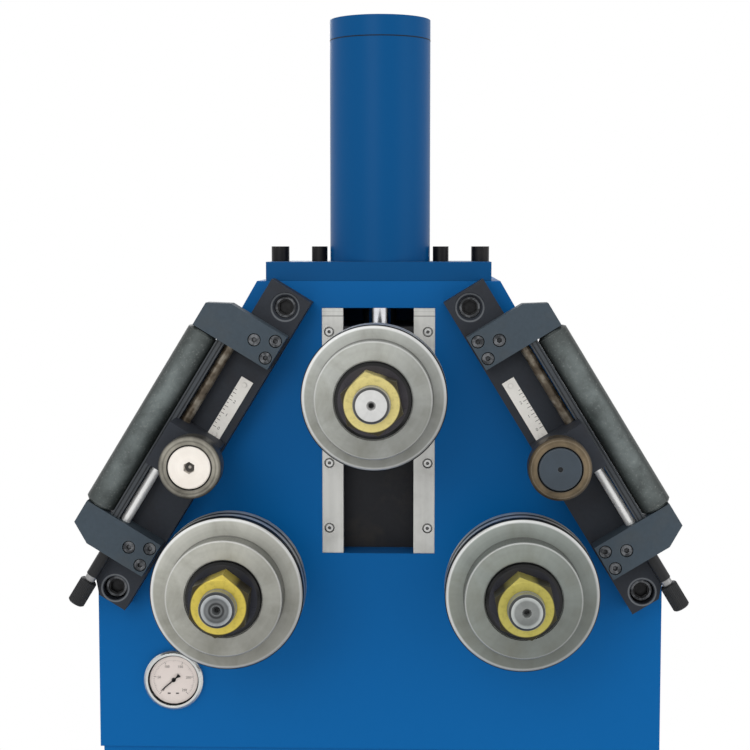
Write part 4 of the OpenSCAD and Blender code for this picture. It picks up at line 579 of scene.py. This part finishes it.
# ---------------------------------------------------------------- drive
# Gearbox, motor and pump have cast housings in grey machine paint. The gearbox
# is fixed behind the bearing plate, its motor hangs down into the cabinet, and
# the pump stands on the oil tank.
cast_grey = machined("casting_grey", srgb(112, 116, 120), roughness=0.55, metallic=0.1,
                     grain=180.0)
dress(cast_grey, "gearbox", "gear_motor", "pump_unit")

# ---------------------------------------------------------------- bracket coordinates
# The slanted bars, lead screws, knobs and long rollers wear differently along
# their length and round the two big screws, so their finishes read the
# distance up the bracket and from the nearest big screw.
BRACKET_X = 0.303
BRACKET_Z = 0.908
BRACKET_SLOPE = math.radians(58.6)
up_bracket, ends_in, ends_out = new_effect(
    "up_bracket", [("Vector", "Vector", None)], [("Along", "Float"), ("Screw", "Float")])
apart = put(up_bracket, "SeparateXYZ", {0: ends_in.outputs["Vector"]}).outputs
outward = sums(up_bracket, "SUBTRACT", sums(up_bracket, "ABSOLUTE", apart["X"]), BRACKET_X)
above = sums(up_bracket, "SUBTRACT", apart["Z"], BRACKET_Z)
along = sums(up_bracket, "SUBTRACT",
             sums(up_bracket, "MULTIPLY", above, math.sin(BRACKET_SLOPE)),
             sums(up_bracket, "MULTIPLY", outward, math.cos(BRACKET_SLOPE)))
across = sums(up_bracket, "ADD",
              sums(up_bracket, "MULTIPLY", above, math.cos(BRACKET_SLOPE)),
              sums(up_bracket, "MULTIPLY", outward, math.sin(BRACKET_SLOPE)))
BIG_SCREW_LOW = -0.007
BIG_SCREW_HIGH = 0.378
to_screw = []
for place in (BIG_SCREW_LOW, BIG_SCREW_HIGH):
    offset = put(up_bracket, "CombineXYZ", {"X": sums(up_bracket, "SUBTRACT", along, place),
                                            "Y": across}).outputs[0]
    to_screw.append(put(up_bracket, "VectorMath", {0: offset},
                        operation="LENGTH").outputs["Value"])
fill(up_bracket, ends_out, {"Along": along,
                            "Screw": sums(up_bracket, "MINIMUM", to_screw[0], to_screw[1])})

# ---------------------------------------------------------------- side brackets
# Sawn and milled bars, phosphated dark, with a paler ring round each big
# screw. The end plates are a shade bluer, and the rail between them is milled
# with two grooves.
bar_dark = machined("bar_phosphate", srgb(44, 48, 55), roughness=0.55, metallic=0.0,
                    grain=240.0, stain=0.3, stain_colour=srgb(40, 32, 28), gloss=0.2,
                    edge_light=0.12)
tree = bar_dark.node_tree
bracket = use_effect(tree, up_bracket, {"Vector": put(tree, "TexCoord").outputs["Object"]})
pale_ring = bands_of(tree, bracket["Screw"], [
    (0.0, 0.0), (0.0146, 0.0), (0.0152, 0.5), (0.0164, 0.5), (0.0170, 0.0)], reach=0.03)
mark_on(bar_dark, pale_ring, srgb(138, 142, 146))
dress(bar_dark, "bracket_bases", "left_carriage", "right_carriage")
plate_slate = machined("end_plate_phosphate", srgb(62, 73, 82), roughness=0.55, metallic=0.0,
                       grain=260.0, stain=0.15, gloss=0.2, edge_light=0.2)
dress(plate_slate, "end_plates")
rail_grey = machined("rail_grey", srgb(66, 70, 74), roughness=0.45, metallic=0.3, grain=900.0,
                     edge_light=0.3)
dress(rail_grey, "guide_rails")

# ---------------------------------------------------------------- bracket screws
# Black cap screws in their counterbores: rims lighter, partly rubbed bare by
# the spanner and partly a painted highlight, and painted dark as shade round
# the big ones' sockets, down in their recesses.
RECESS_SHADE_RADIUS = 0.0096
finish, tree, shader, where = new_finish("cap_screw_rubbed")
bracket = use_effect(tree, up_bracket, {"Vector": where})
edge = use_effect(tree, soft_edge, {"Radius": 0.0006})
dirt_and_shade = use_effect(tree, corner_dirt_and_shade, {"Reach": 0.003})["Dirt_and_shade"]
handled = speckle(tree, where, 160.0, 5.0)
head = blend_colours(tree, spread(tree, handled, 0.0, 1.0, 0.4, 0.6), srgb(50, 52, 55),
                     srgb(104, 106, 109))
edges_worn_and_lit = laid_over(tree, edge["Edge"], 0.6, head, srgb(176, 178, 180))
# Painted shade inside each big screw's rim recess.
recess_shade = spread(tree, bracket["Screw"], 1.0, 0.0, RECESS_SHADE_RADIUS - 0.0006, RECESS_SHADE_RADIUS)
oil_and_shade = laid_over(tree, recess_shade, 0.93, edges_worn_and_lit, srgb(16, 16, 17))
with_dirt_and_shade = blend_colours(tree, dirt_and_shade, oil_and_shade, srgb(12, 12, 13))
wire_up(tree, shader, with_dirt_and_shade, spread(tree, handled, 0.28, 0.45), edge["Normal"], metallic=0.5,
        gloss=0.3)
dress(finish, "bracket_screws")

# ---------------------------------------------------------------- long support rollers
# Black oxide steel, rolled against many workpieces: a mottled grey green
# bloom lies over the black and thins towards the ends. The bloom is laid on
# the front only, as a painted highlight, so the sides stay dark as painted
# shade; the edges are lighter, partly wear and partly a painted highlight.
ROLLER_LOW = 0.073
ROLLER_HIGH = 0.308
ROLLER_Y = -0.295
finish, tree, shader, where = new_finish("roller_bloom_and_highlight")
along = use_effect(tree, up_bracket, {"Vector": where})["Along"]
edge = use_effect(tree, soft_edge, {"Radius": 0.001})
mottle = speckle(tree, where, 42.0, 7.0, roughness=0.6, distortion=0.3)
specks = speckle(tree, where, 420.0, 3.0)
middle = sums(tree, "MULTIPLY", spread(tree, along, 0.35, 1.0, ROLLER_LOW, ROLLER_LOW + 0.05),
              spread(tree, along, 1.0, 0.3, ROLLER_HIGH - 0.06, ROLLER_HIGH))
front_highlight = spread(tree, put(tree, "SeparateXYZ", {0: where}).outputs["Y"], 1.0, 0.1,
               ROLLER_Y - 0.0176, ROLLER_Y - 0.0115)
bloom_and_highlight = sums(tree, "MULTIPLY", spread(tree, mottle, 0.35, 1.0, 0.32, 0.64),
             sums(tree, "MULTIPLY", middle, front_highlight))
bloomed_and_lit = blend_colours(tree, bloom_and_highlight, srgb(46, 51, 50), srgb(112, 120, 119))
pitted = blend_colours(tree, spread(tree, specks, 0.0, 0.3, 0.58, 0.72), bloomed_and_lit,
                       srgb(146, 150, 146))
edges_worn_and_lit = laid_over(tree, edge["Edge"], 0.3, pitted, srgb(170, 172, 168))
wire_up(tree, shader, edges_worn_and_lit, spread(tree, mottle, 0.32, 0.5),
        bumped(tree, specks, edge["Normal"], strength=0.1, distance=0.0003),
        metallic=0.15, gloss=0.3)
dress(finish, "left_support_roller", "right_support_roller")

# ---------------------------------------------------------------- lead screws
# Drawn steel rods: wiped bright below the carriage, and coated with old brown
# grease above it, where nobody wipes them.
CARRIAGE_LOW = 0.154
CARRIAGE_HIGH = 0.208
finish, tree, shader, where = new_finish("lead_screw_steel")
along = use_effect(tree, up_bracket, {"Vector": where})["Along"]
edge = use_effect(tree, soft_edge, {"Radius": 0.0005})
upper = spread(tree, along, 0.0, 1.0, CARRIAGE_LOW, CARRIAGE_HIGH)
smears = speckle(tree, where, 70.0, 6.0, roughness=0.6)
steel = blend_colours(tree, smears, srgb(222, 222, 220), srgb(246, 246, 245))
grease = ramp(tree, smears, [(0.32, srgb(50, 40, 30)), (0.5, srgb(88, 78, 64)),
                             (0.7, srgb(142, 136, 124))])
wire_up(tree, shader, blend_colours(tree, upper, steel, grease), spread(tree, smears, 0.2, 0.4),
        bumped(tree, speckle(tree, where, 700.0, 2.0), edge["Normal"], strength=0.12,
               distance=0.0002), metallic=0.5)
dress(finish, "left_lead_screw", "right_lead_screw")

# ---------------------------------------------------------------- lead screw knobs
# Knurled knob and sleeve, turned from one piece of steel and black oxided. The
# neck between the two has been rubbed bare.
NECK_LOW = -0.0105
NECK_HIGH = -0.0035
finish, tree, shader, where = new_finish("knob_black")
along = use_effect(tree, up_bracket, {"Vector": where})["Along"]
edge = use_effect(tree, soft_edge, {"Radius": 0.0004})
# Painted shade with dirt darkens the corners; the edges are lighter, partly wear and partly a
# painted highlight.
dirt_and_shade = use_effect(tree, corner_dirt_and_shade, {"Reach": 0.002})["Dirt_and_shade"]
fine = speckle(tree, where, 500.0, 3.0)
black = blend_colours(tree, fine, srgb(20, 21, 22), srgb(40, 41, 43))
neck = sums(tree, "MULTIPLY", spread(tree, along, 0.0, 1.0, NECK_LOW, NECK_LOW + 0.0006),
            spread(tree, along, 1.0, 0.0, NECK_HIGH - 0.0006, NECK_HIGH))
bared = blend_colours(tree, neck, black, srgb(150, 150, 150))
edges_worn_and_lit = laid_over(tree, edge["Edge"], 0.2, bared, srgb(110, 112, 114))
with_dirt_and_shade = laid_over(tree, dirt_and_shade, 0.6, edges_worn_and_lit, srgb(10, 10, 11))
wire_up(tree, shader, with_dirt_and_shade, spread(tree, fine, 0.3, 0.5), edge["Normal"],
        metallic=sums(tree, "MULTIPLY", neck, 0.9), gloss=0.25)
dress(finish, "left_knob", "right_knob")

# ---------------------------------------------------------------- guide discs and caps
# Turned discs whose rims are hammered dull by bars; the left one wears a
# bright faced cap, the right one a dark one. The gap round each cap, the
# socket in each cap and the outer edge of each disc are painted dark as shade.
CAP_RADIUS = 0.0235
gap_shade_round_cap = [(0.0, 1.0), (CAP_RADIUS + 0.0012, 1.0), (CAP_RADIUS + 0.0022, 0.2)]
disc_tones = {"left": (srgb(158, 154, 142), srgb(66, 62, 54),
                       [(0.0278, 0.1), (0.0292, 0.55), (0.0306, 0.1), (0.0328, 0.25),
                        (0.0344, 0.85)]),
              "right": (srgb(122, 107, 84), srgb(54, 46, 34),
                        [(0.0282, 0.05), (0.0300, 0.3), (0.0318, 0.1), (0.0344, 0.7)])}
for side, (colour, film_colour, rim_rings) in disc_tones.items():
    dress(lathe_turned(side + "_disc_steel", axis_of(side + "_guide_disc"), colour,
                       roughness=0.42, metallic=0.45, film_colour=film_colour, film_share=0.9,
                       rings_dark=gap_shade_round_cap + rim_rings, edge_light=0.3),
          side + "_guide_disc")
cap_tones = {"left": (srgb(238, 231, 222), srgb(208, 198, 184),
                      [(0.0, 0.3), (0.0012, 0.45), (0.0022, 0.95), (0.0052, 0.9), (0.0058, 0.0),
                       (CAP_RADIUS, 0.0)]),
             "right": (srgb(56, 66, 75), srgb(40, 44, 48),
                       [(0.0, 0.9), (0.002, 0.9), (0.0028, 0.0), (CAP_RADIUS, 0.0)])}
for side, (colour, film_colour, socket_shade_rings) in cap_tones.items():
    dress(lathe_turned(side + "_cap_faced", axis_of(side + "_disc_cap"), colour,
                       roughness=0.5, metallic=0.0, film_colour=film_colour, film_share=0.3,
                       rings_dark=socket_shade_rings, edge_light=0.15, sector_share=0.1),
          side + "_disc_cap")

# ---------------------------------------------------------------- scale strips
# Pale anodised strips, each held by two small screws in the same finish. Their
# ticks and plain numbers are inked dark, and count up from the lower end.
strip_print = machined("scale_pale", srgb(234, 231, 225), roughness=0.5, metallic=0.0,
                       grain=300.0, stain=0.14, stain_colour=srgb(176, 168, 150), dirt_and_shade_share=0.3,
                       contrast=0.04)
dress(strip_print, "scale_strips")
ink = moulded("engraving_ink", srgb(70, 66, 62), roughness=0.6)
UPRIGHT = Matrix.Rotation(math.pi / 2, 4, "X")
FIGURE_PROUD = 0.00004


def add_block(mesh, size, place):
    """A block of a size, set by a matrix."""
    bmesh.ops.create_cube(mesh, size=1.0, matrix=place @ Matrix.Diagonal((*size, 1.0)))


def add_number(mesh, words, height, place):
    """Plain raised figures that stand on the matrix's own XY plane."""
    text = bpy.data.curves.new("figures", "FONT")
    text.body = words
    text.size = height
    text.align_x = "CENTER"
    text.align_y = "CENTER"
    text.extrude = FIGURE_PROUD
    text.resolution_u = 3
    holder = bpy.data.objects.new("figures", text)
    flat_mesh = bpy.data.meshes.new_from_object(holder)
    flat_mesh.transform(place)
    mesh.from_mesh(flat_mesh)
    bpy.data.meshes.remove(flat_mesh)
    bpy.data.objects.remove(holder)
    bpy.data.curves.remove(text)


STRIP_FRONT_Y = -0.2812
MARK_T = 0.0001
TICKS = 12
FIRST_TICK = 0.218
TICK_PITCH = 0.0045
TICK_W = 0.0006
LONG_TICK = 0.0046
SHORT_TICK = 0.0028
TICK_EDGE = 0.0012
FIGURE_IN = 0.0078
FIGURE_H = 0.0052


def on_strip(sign, along, across):
    """A place on a scale strip's face, turned with its bracket."""
    x = sign * (BRACKET_X - along * math.cos(BRACKET_SLOPE) + across * math.sin(BRACKET_SLOPE))
    z = BRACKET_Z + along * math.sin(BRACKET_SLOPE) + across * math.cos(BRACKET_SLOPE)
    tilt = Matrix.Rotation(-sign * (math.pi / 2 - BRACKET_SLOPE), 4, "Y")
    return Matrix.Translation((x, STRIP_FRONT_Y, z)) @ tilt


for side, sign in (("left", -1.0), ("right", 1.0)):
    marks_mesh = bmesh.new()
    for tick in range(TICKS):
        along = FIRST_TICK + tick * TICK_PITCH
        tick_len = LONG_TICK if tick % 2 == 0 else SHORT_TICK
        add_block(marks_mesh, (tick_len, MARK_T, TICK_W),
                  on_strip(sign, along, TICK_EDGE - tick_len / 2))
        if tick % 4 == 0:
            add_number(marks_mesh, str(tick // 4), FIGURE_H,
                       on_strip(sign, along, TICK_EDGE - FIGURE_IN) @ UPRIGHT)
    keep_piece(marks_mesh, side + "_scale_marks", "frame", ink)

# ---------------------------------------------------------------- pressure gauge
# Bright pressed case, rubber ring under the clear window, cream dial with a
# fine printed scale from lower left to lower right, and a black needle. Two
# plain printed blocks stand under its middle.
case_bright = machined("gauge_case_steel", srgb(206, 208, 206), roughness=0.22, metallic=0.85,
                       grain=200.0, stain=0.04, dirt_and_shade_share=0.3, edge_light=0.5)
dress(case_bright, "gauge_case")


def end_in_mix(tree, share, first, second):
    """Ends a material in a mix of two shaders."""
    mixed = put(tree, "MixShader", {0: share, 1: first.outputs[0], 2: second.outputs[0]})
    tree.links.new(mixed.outputs[0], tree.nodes["Material Output"].inputs["Surface"])


glass, tree, shader, where = new_finish("gauge_window")
fill(tree, shader, {"Roughness": 0.02, "Transmission Weight": 1.0, "IOR": 1.02})
rays = put(tree, "LightPath").outputs
through = sums(tree, "ADD", rays["Is Shadow Ray"], rays["Is Diffuse Ray"], clamp=True)
end_in_mix(tree, through, shader, put(tree, "BsdfTransparent"))
dress(glass, "gauge_glass")
needle_black = machined("needle_black", srgb(16, 16, 16), roughness=0.5, metallic=0.0,
                        grain=100.0, stain=0.0)
dress(needle_black, "gauge_needle")
GAUGE = Vector((-0.245, 0.0, 0.783))
DIAL_Y = -0.243
DIAL_T = 0.00015
WINDOW_RADIUS = 0.0305
DIAL_GAP = 0.0003


def on_dial(radius, angle, y):
    """A place on the dial, from its middle."""
    return Matrix.Translation((GAUGE.x + radius * math.cos(angle), y,
                               GAUGE.z + radius * math.sin(angle)))


dial_cream = machined("dial_cream", srgb(251, 239, 232), roughness=0.6, metallic=0.0,
                      grain=600.0, stain=0.1, stain_colour=srgb(232, 214, 200), contrast=0.03,
                      dirt_and_shade_share=0.0)
dial_mesh = bmesh.new()
bmesh.ops.create_cone(dial_mesh, cap_ends=True, segments=ROUND_STEPS,
                      radius1=WINDOW_RADIUS - DIAL_GAP, radius2=WINDOW_RADIUS - DIAL_GAP,
                      depth=DIAL_T, matrix=on_dial(0.0, 0.0, DIAL_Y - DIAL_T / 2) @ UPRIGHT)
keep_piece(dial_mesh, "gauge_dial", "frame", dial_cream)
RING_W = 0.0015
RING_T = 0.0016
RING_GAP = 0.0001
ring_mesh = bmesh.new()
spun_ring(ring_mesh, [(WINDOW_RADIUS - RING_W, 0.0), (WINDOW_RADIUS - RING_GAP, 0.0),
                      (WINDOW_RADIUS - RING_GAP, RING_T), (WINDOW_RADIUS - RING_W, RING_T)])
ring_mesh.transform(on_dial(0.0, 0.0, DIAL_Y - DIAL_T) @ UPRIGHT)
keep_piece(ring_mesh, "gauge_seal", "frame",
           moulded("gauge_rubber", srgb(24, 26, 26), roughness=0.5))
SCALE_STEPS = 50
SCALE_RADIUS = 0.0245
FIRST_ANGLE = math.radians(225)
SCALE_SWEEP = math.radians(270)
NUMBERED_MARK = (0.0036, 0.0005)
FIFTH_MARK = (0.0026, 0.0003)
SMALL_MARK = (0.0014, 0.0003)
NUMBER_RADIUS = 0.0178
NUMBER_H = 0.0042
mark_y = DIAL_Y - DIAL_T - MARK_T / 2
print_mesh = bmesh.new()
for step in range(SCALE_STEPS + 1):
    angle = FIRST_ANGLE - SCALE_SWEEP * step / SCALE_STEPS
    numbered = step % 10 == 0
    mark_len, mark_w = (NUMBERED_MARK if numbered
                        else FIFTH_MARK if step % 5 == 0 else SMALL_MARK)
    add_block(print_mesh, (mark_len, MARK_T, mark_w),
              on_dial(SCALE_RADIUS - mark_len / 2, angle, mark_y)
              @ Matrix.Rotation(-angle, 4, "Y"))
    if numbered:
        add_number(print_mesh, str(5 * step), NUMBER_H,
                   on_dial(NUMBER_RADIUS, angle, mark_y) @ UPRIGHT)
keep_piece(print_mesh, "dial_scale", "frame",
           moulded("dial_print", srgb(64, 58, 54), roughness=0.6))
BLOCK_W = 0.0034
BLOCK_H = 0.0016
BLOCK_DROP = 0.0165
blocks_mesh = bmesh.new()
for sideways in (-0.0058, 0.0042):
    add_block(blocks_mesh, (BLOCK_W, MARK_T, BLOCK_H),
              Matrix.Translation((GAUGE.x + sideways, mark_y, GAUGE.z - BLOCK_DROP)))
keep_piece(blocks_mesh, "dial_blocks", "frame", ink)

# ---------------------------------------------------------------- hydraulics, electrics
# Oil tank and electric box are moulded plastic, and the pipes are bent from
# zinc plated steel tube. The main switch is a red knob on the cabinet's side.
dress(moulded("tank_plastic", srgb(60, 62, 64), roughness=0.55, grain=300.0), "oil_tank")
pipe_zinc = machined("pipe_zinc", srgb(196, 198, 200), roughness=0.3, metallic=0.9, grain=120.0)
dress(pipe_zinc, "oil_pipes")
dress(moulded("box_plastic", srgb(186, 188, 186), roughness=0.5, grain=300.0), "electric_box")
dress(moulded("switch_red", srgb(190, 28, 24), roughness=0.35, grain=300.0), "switch_knob")

# ---------------------------------------------------------------- studio
# A pale floor that goes over into a white backdrop, one soft lamp above and to
# the left of the camera, one at the right and a larger one behind.
FLOOR_RADIUS = 14.0
FADE_FROM = 0.9
FADE_TO = 1.7
floor_mesh = bmesh.new()
bmesh.ops.create_circle(floor_mesh, cap_ends=True, segments=ROUND_STEPS, radius=FLOOR_RADIUS)
floor_data = bpy.data.meshes.new("studio_floor")
floor_mesh.to_mesh(floor_data)
floor_mesh.free()
floor = bpy.data.objects.new("studio_floor", floor_data)
bpy.context.scene.collection.objects.link(floor)


def sees_backdrop(tree):
    """1 for rays from the camera, off metal or through glass, and 0 for light."""
    rays = put(tree, "LightPath").outputs
    return sums(tree, "ADD", sums(tree, "ADD", rays["Is Camera Ray"], rays["Is Glossy Ray"]),
                rays["Is Transmission Ray"], clamp=True)


floor_finish, tree, shader, where = new_finish("studio_floor")
fill(tree, shader, {"Base Color": (0.82, 0.82, 0.82, 1.0), "Roughness": 0.7})
white = put(tree, "Emission", {"Strength": 1.0, "Color": (1.0, 1.0, 1.0, 1.0)})
distance = put(tree, "VectorMath", {0: where}, operation="LENGTH").outputs["Value"]
far = put(tree, "MapRange", {"Value": distance, "From Min": FADE_FROM, "From Max": FADE_TO},
          interpolation_type="SMOOTHSTEP").outputs[0]
end_in_mix(tree, sums(tree, "MULTIPLY", far, sees_backdrop(tree)), shader, white)
floor_data.materials.append(floor_finish)

WORLD_LIGHT = 0.95
world = bpy.data.worlds.new("studio_world")
bpy.context.scene.world = world
world.use_nodes = True
tree = world.node_tree
fill(tree, tree.nodes["Background"], {
    "Color": (1.0, 1.0, 1.0, 1.0),
    "Strength": spread(tree, sees_backdrop(tree), WORLD_LIGHT, 1.0)})


def studio_lamp(name, place, aim, size, power):
    """A square soft lamp turned to a point."""
    data = bpy.data.lights.new(name, "AREA")
    data.shape = "SQUARE"
    data.size = size
    data.energy = power
    lamp = bpy.data.objects.new(name, data)
    bpy.context.scene.collection.objects.link(lamp)
    lamp.location = place
    lamp.rotation_mode = "QUATERNION"
    lamp.rotation_quaternion = (Vector(aim) - Vector(place)).to_track_quat("-Z", "Y")


studio_lamp("key_lamp", (-0.7, -2.7, 2.0), aim=(0.0, -0.2, 0.95), size=1.2, power=12.0)
studio_lamp("right_lamp", (2.8, -1.8, 1.8), aim=(0.0, -0.2, 1.0), size=1.6, power=8.0)
studio_lamp("rear_lamp", (-1.0, 3.0, 2.8), aim=(0.0, 0.2, 1.0), size=2.0, power=25.0)

bpy.context.scene.view_settings.view_transform = "Standard"
